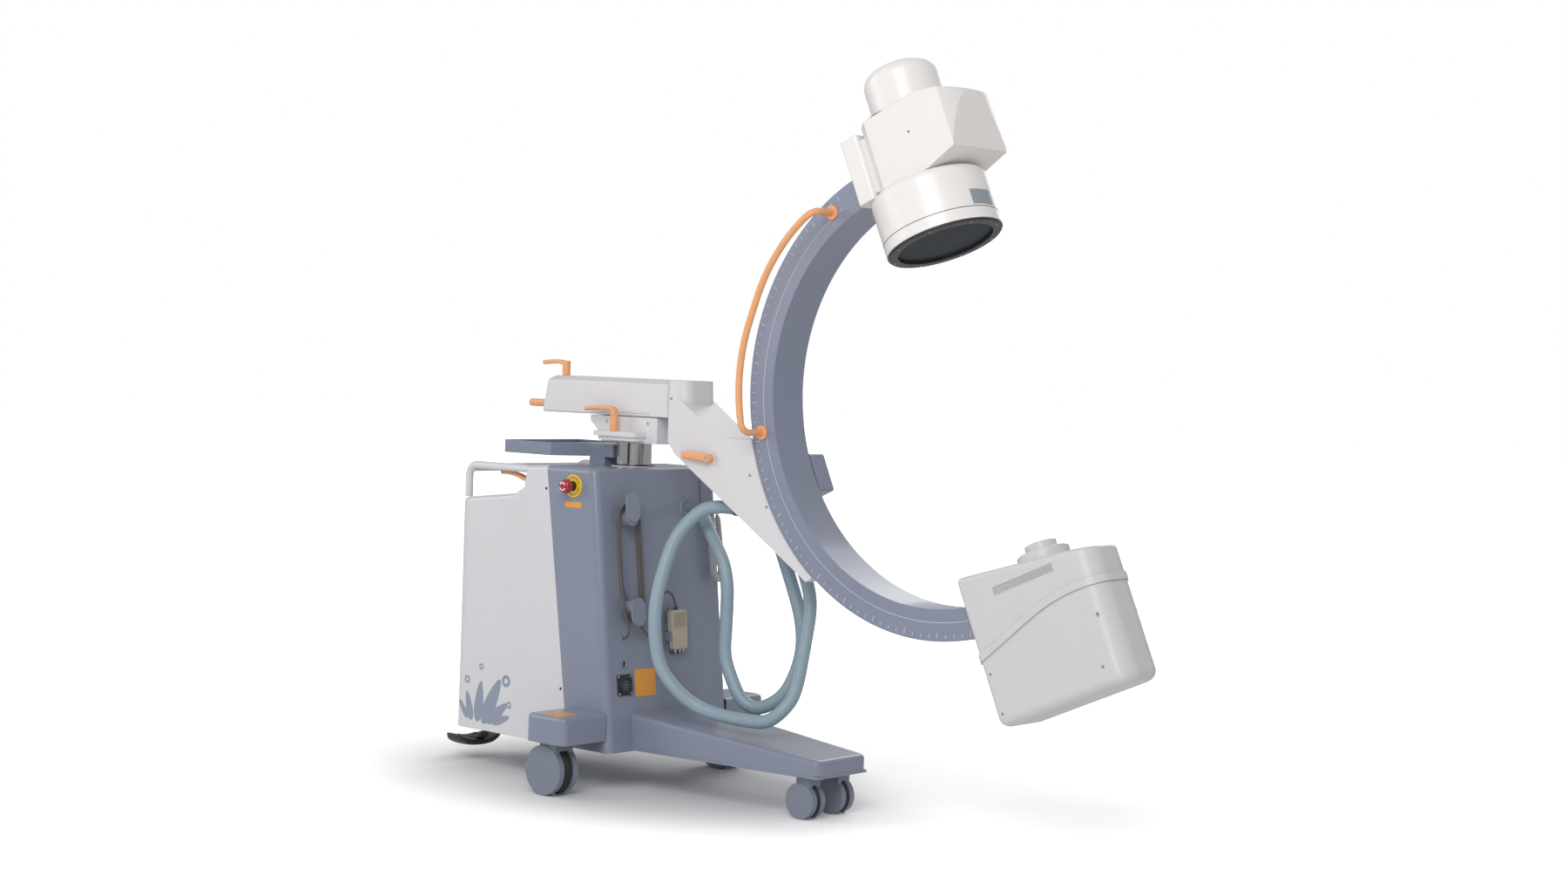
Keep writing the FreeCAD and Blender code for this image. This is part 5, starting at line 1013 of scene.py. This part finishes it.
    def pedal(self) -> None:
        """The brake pedal: a boat-shaped tread with ribs, on a bent steel arm."""
        arm = Form("pedal_arm").blade(eased((
            (-153, -95, 100, 9, 6), (-300, -95, 99, 9, 6), (-440, -95, 94, 10, 6), (-474, -95, 76, 12, 7),
            (-492, -95, 60, 14, 7), (-520, -95, 52, 14, 7),
        )), Axis.Z)
        self.piece(arm, Look.DARK, "brake_pedal", "dark_rubber", "brake_pedal", smooth=50)
        tread = Form("pedal_tread").blade(eased((
            (-526, -172, 67, 30, 4), (-526, -160, 57, 38, 9), (-527, -135, 49, 43, 12),
            (-527, -95, 45, 45, 11), (-527, -55, 49, 43, 12), (-526, -30, 57, 38, 9), (-526, -18, 67, 30, 4),
        )), Axis.Z, sides=36, square=0.62)
        self.piece(tread, Look.DARK, "brake_pedal", "dark_rubber", smooth=60)
        ribs = Form("pedal_ribs")
        for step in range(9):
            across = -131 + step * 8
            lift = 56 + 0.0035 * (across + 97) ** 2
            ribs.box((-560, across, lift - 3), (-494, across + 3, lift + 2.4))
        self.piece(ribs, Look.DARK, "brake_pedal", "dark_rubber", bevel=0.8)

    def build(self) -> None:
        """Makes every control."""
        self.stop_button()
        self.levers()
        self.pedal()


@dataclass
class FrontPanel(Dressing):
    """The sockets, the hand switch in its holder, the hose's flange and the bare plates."""

    side: float = -167.0

    def disc(
        self, name: str, profile: Profile, y: float, height: float, sides: int, look: Look, slot: str,
        closed: bool = True,
    ) -> None:
        """Makes a turned piece on the front face whose axis points out of it."""
        place = aimed(slope_point(0, y, height), Axis.X)
        self.turned(name, profile, place, sides, look, "cart", slot, closed=closed, placed=FACE)

    def sockets(self) -> None:
        """The cable grommet, the round jack and the square many-pin socket."""
        ring = [(3.6, -1), (9, -1), (9, 1.4), (7.6, 3.6), (4.6, 4.4), (3.6, 3.6)]
        self.disc("grommet_ring", ring, self.side, 416, 40, Look.STEEL, "steel")
        jack = [(5.4, -1), (10, -1), (10, 1.2), (8.6, 3.8), (6.2, 4.2), (5.4, 3.4)]
        self.disc("jack_ring", jack, self.side, 348, 40, Look.STEEL, "steel")
        hole = [(5.4, -0.5), (5.4, 1.6), (2.2, 1.6), (2.0, 0.2), (0, 0.2)]
        self.disc("jack_core", hole, self.side, 348, 32, Look.DARK, "socket", closed=False)
        middle = aimed(slope_point(0, self.side, 291), Axis.X)
        plate = Form("pin_socket_plate", FACE)
        plate.prism(outline_round(rectangle(-28.5, -28.5, 28.5, 28.5), 5), -0.2, 3.6, middle)
        plate.lathe([(17.5, 3), (23, 3), (23, 9), (22, 10.4), (18.6, 10.4), (17.5, 9)], middle, 56, True)
        self.piece(plate, Look.DARK, "cart", "socket", "front_sockets", bevel=0.6)
        self.turned("pin_socket_core", [(17.5, 3), (17.5, 6), (0, 6)], middle, 48, Look.DARK, "cart",
                    "socket", placed=FACE)
        pins = Form("pin_socket_pins", FACE)
        for count, radius in ((1, 0), (6, 6.2), (12, 12.6)):
            for step in range(count):
                angle = 2 * math.pi * step / count
                spot = middle @ Matrix.Translation((*on_circle(radius, angle), 0))
                pins.lathe([(1.3, 5.6), (1.3, 9), (0.7, 9.8), (0, 9.8)], spot, 12)
        self.piece(pins, Look.STEEL, "cart", "steel")
        screws = Form("pin_socket_screws", FACE)
        for y in (-23, 23):
            for z in (-23, 23):
                screws.screw(middle @ Matrix.Translation((y, z, 3.5)), 3.4, 1.4)
        self.piece(screws, Look.STEEL, "cart", "steel")

    def hand_switch(self) -> None:
        """The beige hand switch with its ribs, in a holder with a metal clip."""
        place = aimed(slope_point(0, 33, 428), Axis.X)
        upper = [(-31, 2), (-31, 48), (-24, 55), (24, 55), (31, 48), (31, 2), (27, -54), (-27, -54)]
        body = Form("hand_switch_body", FACE).prism(outline_round(upper, 7), 9, 29, place)
        self.piece(body, Look.BEIGE, "cart", "beige", "hand_switch", bevel=3)
        ribs = Form("hand_switch_ribs", FACE)
        for step in range(9):
            ribs.box((-24, 8 + step * 4.6, 28.4), (24, 10.4 + step * 4.6, 31.2), place)
        self.piece(ribs, Look.BEIGE, "cart", "beige", bevel=0.5)
        panel = Form("hand_switch_panel", FACE)
        panel.prism(outline_round([(-20, -46), (20, -46), (22, 4), (-22, 4)], 5), 28.6, 29.7, place)
        self.piece(panel, Look.BEIGE, "cart", "beige", bevel=0.5)
        relief = Form("hand_switch_relief", FACE).tube(
            [(22, 25.4, 366), (22, 25.8, 371), (22, 26.3, 378), (22, 26.6, 384)], (6.5, 6, 5, 4.2), 20)
        self.piece(relief, Look.DARK, "cart", "dark_rubber")
        holder = Form("switch_holder_shell", FACE)
        low = slope_point(0, 0, 428)[2]
        holder.box((0.2, 5, low - 58), (4, 61, low + 20))
        for y in (-2, 55):
            holder.box((0.2, y + (0 if y < 0 else 6), low - 30), (26, y + (4 if y < 0 else 10), low - 4))
        self.piece(holder, Look.GREY, "cart", "beige", "switch_holder", bevel=1.2)
        clip = Form("switch_holder_clip", FACE)
        for y in (14, 32, 46):
            clip.box((0.4, y, low - 66), (20, y + 9, low - 62))
            clip.box((17, y, low - 66), (20, y + 9, low - 52))
            clip.screw(aimed((2, y + 4.5, low - 68), Axis.DOWN), 2.6, 1.2)
        self.piece(clip, Look.STEEL, "cart", "steel", bevel=0.6)

    def plates(self) -> None:
        """The bare plates: orange by the socket, under the stop button and on the near outrigger."""
        plate = Form("front_plate", FACE)
        low, high = slope_point(0, 0, 256)[2], slope_point(0, 0, 329)[2]
        plate.prism(outline_round(rectangle(low, -126, high, -47), 4), 0.1, 0.7,
                    Matrix(((0, 0, 1, 0), (0, 1, 0, 0), (1, 0, 0, 0), (0, 0, 0, 1))))
        self.piece(plate, Look.PLATE, "cart", "yellow")
        small = Form("stop_plate")
        small.side_prism(outline_round(rectangle(-20, 766, 43, 782), 2), -240.7, -239.9)
        self.piece(small, Look.PLATE, "cart", "yellow")
        foot = Form("outrigger_plate")
        foot.prism(outline_round(rectangle(72, -388, 136, -322), 3), 220.9, 221.5)
        self.piece(foot, Look.PLATE, "cart", "yellow")

    def hose_ring(self) -> None:
        """The flange where the feed hose leaves the body."""
        flange = [(19, -0.5), (30, -0.5), (30, 3), (28, 5), (21, 6), (19, 5)]
        self.disc("hose_flange", flange, 114, 764, 56, Look.BLUE, "blue_shell")

    def build(self) -> None:
        """Makes everything on the front face."""
        self.sockets()
        self.hand_switch()
        self.plates()
        self.hose_ring()


@dataclass
class Casters(Dressing):
    """The four casters: tyre, wheel disc, guards and axle caps."""

    @staticmethod
    def both_sides(profile: Profile) -> list[tuple[float, float]]:
        """A profile's mirror image below, and then the profile back again, as one loop."""
        return [*((radius, -along) for radius, along in profile), *reversed(profile)]

    def caster(self, name: str, reach: float, side: float, radius: float, width: float) -> None:
        """Dresses one caster.

        Args:
            name: The caster's first words.
            reach: The axle's place along the cart.
            side: The wheel's middle across the cart.
            radius: The wheel's radius.
            width: The whole caster's width.
        """
        middle = aimed((reach, side, radius), Axis.Y)
        half = 15 if radius > 60 else 6
        fork, wheel = f"{name}_caster_fork", f"{name}_caster_wheel"
        tread = [(radius * 0.72, half - 1), (radius * 0.9, half), (radius - 4, half - 1),
                 (radius, half * 0.5)]
        self.turned(f"{name}_tyre", self.both_sides(tread), middle, 72, Look.TYRE, wheel, "tyre", wheel,
                    closed=True)
        web = [(6.4, half - 1.5), (radius * 0.25, half - 1.5), (radius * 0.5, half - 4),
               (radius * 0.73, half - 2)]
        self.turned(f"{name}_wheel_disc", self.both_sides(web), middle, 48, Look.GREY, wheel,
                    "caster_plastic", closed=True)
        for mark, sign in (("out", -1 if side < 0 else 1), ("in", 1 if side < 0 else -1)):
            face = aimed((reach, side + sign * (width / 2 - 0.4), radius), sideways(sign))
            guard = ((0.2, -0.5), (0.84, -0.5), (0.83, 0.1), (0.7, 0.35), (0.45, -0.1), (0.3, 0.3),
                     (0.2, 0.3))
            self.turned(f"{name}_guard_{mark}", [(radius * share, rise) for share, rise in guard], face, 56,
                        Look.CASTER, fork, "caster_plastic", closed=True)
            cap = [(radius * 0.13, -1), (radius * 0.13, 0.3), (0, 0.38)]
            self.turned(f"{name}_axle_cap_{mark}", cap, face, 6, Look.STEEL, fork, "steel", smooth=20)

    def build(self) -> None:
        """Dresses the four casters."""
        for hand, sign in (("right", -1), ("left", 1)):
            self.caster(f"rear_{hand}", 66, sign * 341, 68, 68)
            self.caster(f"front_{hand}", 724, sign * 59, 48, 50)


ARM_MARK = (-ARM_SIDE - 0.4, -ARM_SIDE)


@dataclass
class Markings(Dressing):
    """Scales without words, the light line on the arc and the cover's own bare motif."""

    def arc_scale(self) -> None:
        """Ticks along the arc's outer edge and the light line along its inner part."""
        for mark, low, high in (("near", -60.25, -59.9), ("far", 59.9, 60.25)):
            ticks = Form(f"arc_ticks_{mark}", ARC)
            for step in range(66):
                angle = math.radians(100 + 2.5 * step)
                long = 15 if step % 4 == 0 else 8
                c, s = math.cos(angle), math.sin(angle)
                inner, outer, wide = 602 - long, 602, 0.6
                corners = rectangle(inner, wide, outer, -wide)
                ticks.side_prism([(x * c + y * s, x * s - y * c) for x, y in corners], low, high)
            self.piece(ticks, Look.INK, "c", "arc_casting")
            line = Form(f"arc_line_{mark}", ARC)
            outline = []
            for radius, steps in ((563.2, range(0, 161, 2)), (562.2, range(160, -1, -2))):
                for step in steps:
                    angle = math.radians(100 + step)
                    outline.append(on_circle(radius, angle))
            line.side_prism(outline, low, high)
            self.piece(line, Look.INK, "c", "arc_casting")

    def arm_scales(self) -> None:
        """The ruler on the arm, the turning scale at its front and the dots at the orbit lock."""
        ruler = Form("arm_ruler")
        for step in range(23):
            reach = -104 + 10 * step
            high = 1034 if step % 5 == 0 else 1031
            ruler.side_prism(rectangle(reach, 1026, reach + 0.8, high), *ARM_MARK)
        ruler.side_prism(rectangle(-104, 1025.2, 117, 1026), *ARM_MARK)
        self.piece(ruler, Look.GREY_INK, "arm", "arm_casting")
        turn = Form("turn_scale")
        for step in range(15):
            height = 1030 + 6 * step
            long = 9 if step % 5 == 0 else 5
            turn.side_prism(rectangle(189 - long, height, 189, height + 0.8), *ARM_MARK)
        self.piece(turn, Look.GREY_INK, "arm", "arm_casting")
        pointer = Form("turn_pointer")
        pointer.side_prism([(194, 1072), (204, 1068), (204, 1076)], *ARM_MARK)
        self.piece(pointer, Look.GREY_INK, "bracket", "arm_casting")
        dots = Form("orbit_dots")
        for step in range(7):
            angle = math.radians(-60 + 20 * step)
            spot = aimed((356 + 20 * math.cos(angle), -65, 917 + 20 * math.sin(angle)), Axis.BACK_Y)
            dots.lathe([(1.5, -0.1), (1.5, 0.3), (0, 0.3)], spot, 16)
        self.piece(dots, Look.GREY_INK, "bracket", "arm_casting")

    def motif(self) -> None:
        """A plain motif of rounded leaves and rings low on both sides of the rear cover."""
        for mark, near, far in (("near", -240.35, -239.95), ("far", 239.95, 240.35)):
            leaves = Form(f"motif_leaves_{mark}")
            for index, (reach, height, size, lean) in enumerate((
                (-352, 134, 118, 84), (-330, 132, 150, 62), (-310, 136, 104, 38), (-376, 136, 84, 106),
                (-392, 140, 60, 128), (-288, 138, 74, 20),
            )):
                outline = []
                for step in range(24):
                    t = step / 24 * 2 * math.pi
                    along = size * (1 - math.cos(t)) / 2
                    across = 0.15 * size * math.sin(t) * (1 + 0.3 * math.cos(t))
                    a = math.radians(lean)
                    outline.append((reach + along * math.cos(a) - across * math.sin(a),
                                    height + along * math.sin(a) + across * math.cos(a)))
                rise = math.copysign(0.05 * index, near)
                leaves.side_prism(outline, near + min(rise, 0), far + max(rise, 0))
            self.piece(leaves, Look.MOTIF, "cart", "cream_shell")
            rings = Form(f"motif_rings_{mark}")
            ring = rectangle(0.45, -0.05, 1, 0.35)
            for reach, height, radius in ((-398, 250, 11), (-236, 262, 17), (-340, 292, 9), (-222, 196, 10)):
                spot = aimed((reach, math.copysign(240, near), height), sideways(near))
                rings.lathe([(radius * share, rise) for share, rise in ring], spot, 40, True)
            self.piece(rings, Look.MOTIF, "cart", "cream_shell")

    def build(self) -> None:
        """Makes every mark."""
        self.arc_scale()
        self.arm_scales()
        self.motif()


@dataclass
class ImageEnd(Dressing):
    """The image intensifier's seam, collar, screws and bare plate."""

    low: float = 362.0

    def build(self) -> None:
        """Dresses the drum, its rim and the housing above it."""
        self.turned("drum_seam", rectangle(149, self.low + 30, 151.3, self.low + 31.6), None, 120,
                    Look.GAP, "c", "dark_rubber", closed=True, placed=BEAM)
        screws = Form("rim_screws", BEAM)
        for step in range(8):
            angle = math.radians(22.5 + 45 * step)
            spot = (*on_circle(138, angle), self.low - 5.8)
            screws.screw(aimed(spot, Axis.DOWN), 3, 1)
        self.piece(screws, Look.STEEL, "c", "steel")
        plate = Form("drum_plate", BEAM)
        start, stop, low, high = -17, 12, 398, 438
        outer, inner = [], []
        for step in range(13):
            angle = math.radians(start + (stop - start) * step / 12)
            outer.append(on_circle(151.6, angle))
            inner.insert(0, on_circle(150.6, angle))
        plate.prism(outer + inner, low, high)
        self.piece(plate, Look.SILVER, "c", "warm_shell")
        self.turned("camera_collar", [(96, 709.5), (99.4, 709.5), (99.4, 714), (98.8, 716), (96, 716)],
                    Matrix.Translation((-20, 0, 0)), 96, Look.GAP, "c", "dark_rubber",
                    closed=True, placed=BEAM)
        side = Form("housing_screws", BEAM)
        for mark in (-1, 1):
            side.screw(aimed((69, mark * 109.9, 623), sideways(mark)), 3, 0.8)
        self.piece(side, Look.DARK, "c", "steel")


@dataclass
class TubeEnd(Dressing):
    """The X-ray tube head's port plate, port window and screws."""

    def build(self) -> None:
        """Dresses the tube head."""
        port = [(41, -460.2), (62, -460.2), (62, -457.6), (60, -456.4), (44, -456.4), (41, -457.6)]
        self.turned("port_plate", port, None, 80, Look.PALE, "c", "warm_shell", closed=True, placed=BEAM)
        window = [(38, -440), (38, -436.4), (36, -435.8), (0, -435.8)]
        self.turned("port_window", window, None, 72, Look.GREY, "c", "warm_shell", placed=BEAM)
        screws = Form("port_screws", BEAM)
        for step in range(6):
            angle = math.radians(60 * step + 30)
            screws.screw(Matrix.Translation((*on_circle(53, angle), -456.6)), 3.6, 1.6)
        self.piece(screws, Look.STEEL, "c", "steel")
        sides = Form("head_screws", BEAM)
        for mark in (-1, 1):
            for x, z in ((-196, -700), (-196, -800), (150, -660), (120, -780)):
                sides.screw(aimed((x, mark * 81.9, z), sideways(mark)), 4, 1.5)
        self.piece(sides, Look.STEEL, "c", "steel")


@dataclass
class CartDetails(Dressing):
    """Screws, the tray's mat and the column's wiper."""

    def cover_screws(self) -> None:
        """Screws along both sides of the rear cover, on the bracket and on the swivel block."""
        screws = Form("cover_screws")
        for mark in (-1, 1):
            way = sideways(mark)
            for height in (812, 267):
                reach = 18 - 114 * (height - 112) / 764 - 10
                screws.screw(aimed((reach, mark * BODY_SIDE, height), way), 4, 1.2)
        self.piece(screws, Look.DARK, "cart", "steel")
        more = Form("bracket_screws")
        for mark in (-1, 1):
            for reach, height in ((498, 880), (560, 800)):
                more.screw(aimed((reach, mark * ARM_SIDE, height), sideways(mark)), 4.5, 1.8)
        self.piece(more, Look.STEEL, "bracket", "steel")
        block = Form("block_screws")
        for reach in (-50, 110):
            for mark in (-1, 1):
                block.screw(aimed((reach, mark * 59.9, 1000), sideways(mark)), 4.5, 1.8)
        self.piece(block, Look.STEEL, "swivel", "steel")

    def tray_mat(self) -> None:
        """The mat that lies in the tray, with fine raised ribs."""
        mat = Form("tray_mat")
        outline = outline_round(rectangle(-370, -142, -187, 142), 8)
        mat.prism(outline, TRAY_FLOOR + 0.05, TRAY_FLOOR + 1.6)
        self.piece(mat, Look.FLOOR_TRAY, "lift", "dark_rubber", bevel=0.5)
        ribs = Form("tray_mat_ribs")
        for step in range(17):
            y = -128 + 16 * step
            ribs.box((-362, y - 1.5, TRAY_FLOOR + 1.5), (-195, y + 1.5, TRAY_FLOOR + 2.4))
        self.piece(ribs, Look.FLOOR_TRAY, "lift", "dark_rubber", bevel=0.4)

    def wiper(self) -> None:
        """The dark wiper ring where the chrome column leaves its sleeve."""
        self.turned("column_wiper", [(50.4, 877.9), (60, 877.9), (59, 880.4), (53, 882.6), (50.4, 882.6)],
                    None, 80, Look.DARK, "cart", "dark_rubber", closed=True)

    def build(self) -> None:
        """Makes every small piece of the cart."""
        self.cover_screws()
        self.tray_mat()
        self.wiper()


ASSEMBLIES = (Cords, Controls, FrontPanel, Casters, Markings, ImageEnd, TubeEnd, CartDetails)


class Studio:
    """The floor, the lamps and the camera."""

    def floor(self) -> None:
        """Lays the pale floor: white to the camera, with the lamps' shadow and a painted shadow under the
        cart where its glow fades out.
        """
        mesh = bmesh.new()
        bmesh.ops.create_grid(mesh, x_segments=1, y_segments=1, size=30)
        data = bpy.data.meshes.new("floor")
        mesh.to_mesh(data)
        mesh.free()
        item = linked("floor", data)
        material = bpy.data.materials.new("floor_pale")
        material.use_nodes = True
        work = NodeTree(material.node_tree)
        shader = material.node_tree.nodes["Principled BSDF"]
        preset(shader, {"Base Color": (0.82, 0.82, 0.82, 1), "Roughness": 0.9, "Specular IOR Level": 0.1})
        path = work.node("ShaderNodeLightPath")
        seen = work.maths("MAXIMUM", path.outputs["Is Camera Ray"], path.outputs["Is Transmission Ray"])
        # The painted shadow is an ellipse about the cart's footprint; the two vector steps below place and
        # stretch it.
        place = work.node("ShaderNodeNewGeometry")
        spread = work.node("ShaderNodeVectorMath", operation="MULTIPLY", in_1=(0.95, 1.35, 0.0))
        shifted = work.node("ShaderNodeVectorMath", operation="ADD", in_1=(0.52, 0.0, 0.0))
        work.join(place.outputs["Position"], shifted.inputs[0])
        work.join(shifted.outputs[0], spread.inputs[0])
        away = work.node("ShaderNodeVectorMath", operation="LENGTH")
        work.join(spread.outputs[0], away.inputs[0])
        # The first fade paints the shadow: it takes the glow away inside the ellipse, so the floor under the
        # cart is darker. The second raises the glow to keep the floor white further out.
        painted_shadow_and_white_fades = []
        for start, stop, low, high in ((0.45, 1.0, 0.0, 1.0), (1.0, 4.0, 0.42, 1.1)):
            fade = work.node("ShaderNodeMapRange", interpolation_type="SMOOTHSTEP",
                             in_1=start, in_2=stop, in_3=low, in_4=high)
            work.join(away.outputs["Value"], fade.inputs[0])
            painted_shadow_and_white_fades.append(fade.outputs[0])
        glow = work.node("ShaderNodeEmission")
        light = work.maths("MULTIPLY", *painted_shadow_and_white_fades)
        work.join(work.maths("MULTIPLY", seen, light), glow.inputs["Strength"])
        both = work.node("ShaderNodeAddShader")
        output = material.node_tree.nodes["Material Output"]
        work.join(shader.outputs[0], both.inputs[0])
        work.join(glow.outputs[0], both.inputs[1])
        work.join(both.outputs[0], output.inputs[0])
        data.materials.append(material)

    def world(self) -> None:
        """Lights the object evenly and shows white behind it."""
        world = bpy.data.worlds.new("studio")
        bpy.context.scene.world = world
        world.use_nodes = True
        work = NodeTree(world.node_tree)
        path = work.node("ShaderNodeLightPath")
        seen = work.maths("MAXIMUM", path.outputs["Is Camera Ray"], path.outputs["Is Transmission Ray"])
        back = world.node_tree.nodes["Background"]
        back.inputs["Color"].default_value = (1, 1, 1, 1)
        work.join(work.maths("ADD", work.maths("MULTIPLY", seen, 0.55), 0.45), back.inputs["Strength"])

    def lamp(self, name: str, place: Point, target: Point, size: float, power: float) -> None:
        """Adds one square area lamp that looks at a target."""
        data = bpy.data.lights.new(name, "AREA")
        data.shape = "SQUARE"
        data.size = size
        data.energy = power
        item = linked(name, data)
        item.location = place
        item.rotation_euler = (Vector(target) - Vector(place)).to_track_quat("-Z", "Y").to_euler()

    def shades(self) -> None:
        """Two dark panels beside the camera that only mirror-like surfaces see."""
        for name, place in (("shade_left", (0.6, -6.0, 1.2)), ("shade_right", (6.4, -1.2, 1.2))):
            mesh = bmesh.new()
            bmesh.ops.create_grid(mesh, x_segments=1, y_segments=1, size=1)
            turn = (Vector(place) - Vector((0, 0, 1.2))).to_track_quat("Z", "Y").to_matrix().to_4x4()
            mesh.transform(Matrix.Translation(place) @ turn @ Matrix.Diagonal((0.8, 2.4, 1, 1)))
            data = bpy.data.meshes.new(name)
            mesh.to_mesh(data)
            mesh.free()
            item = linked(name, data)
            material = bpy.data.materials.new(name)
            material.use_nodes = True
            preset(material.node_tree.nodes["Principled BSDF"], {"Base Color": (0.01, 0.01, 0.012, 1)})
            data.materials.append(material)
            for sight in ("camera", "diffuse", "shadow", "transmission"):
                setattr(item, f"visible_{sight}", False)

    def camera(self) -> None:
        """Sets the camera at the photograph's viewpoint."""
        azimuth, height, roll = (math.radians(turn) for turn in (41.03, 2.02, 1.99))
        back = Vector((
            math.sin(azimuth) * math.cos(height),
            -math.cos(azimuth) * math.cos(height),
            math.sin(height),
        ))
        right = (-back).cross(Vector((0, 0, 1))).normalized()
        up = right.cross(-back)
        across = right * math.cos(roll) + up * math.sin(roll)
        over = up * math.cos(roll) - right * math.sin(roll)
        data = bpy.data.cameras.new("camera")
        data.sensor_width = 36
        data.lens = 54.61
        item = linked("camera", data)
        turn = Matrix((across, over, back)).transposed().to_4x4()
        item.matrix_world = REACH @ Matrix.Translation((4.6914, -4.7515, 1.1863)) @ turn
        bpy.context.scene.camera = item
        bpy.context.scene.view_settings.view_transform = "Standard"

    def build(self) -> None:
        """Sets up the whole stage."""
        self.floor()
        self.world()
        middle = (0.0, 0.0, 0.9)
        self.lamp("key", (2.6, -4.6, 4.2), middle, 3.0, 165)
        self.lamp("edge", (3.2, -4.6, 1.6), middle, 0.7, 22)
        self.lamp("fill", (-4.5, -3.4, 2.6), middle, 3.0, 60)
        self.shades()
        self.lamp("rim", (-1.5, 4.5, 3.5), middle, 3.0, 60)
        self.camera()


def main() -> None:
    """Builds the stage, the finishes and every piece in order."""
    logging.basicConfig(level=logging.INFO, format="%(name)s: %(message)s")
    random.seed(11)
    Studio().build()
    paint = Paint()
    dress_cad(paint)
    for assembly in ASSEMBLIES:
        assembly(paint).build()


if __name__ == "__main__":
    main()
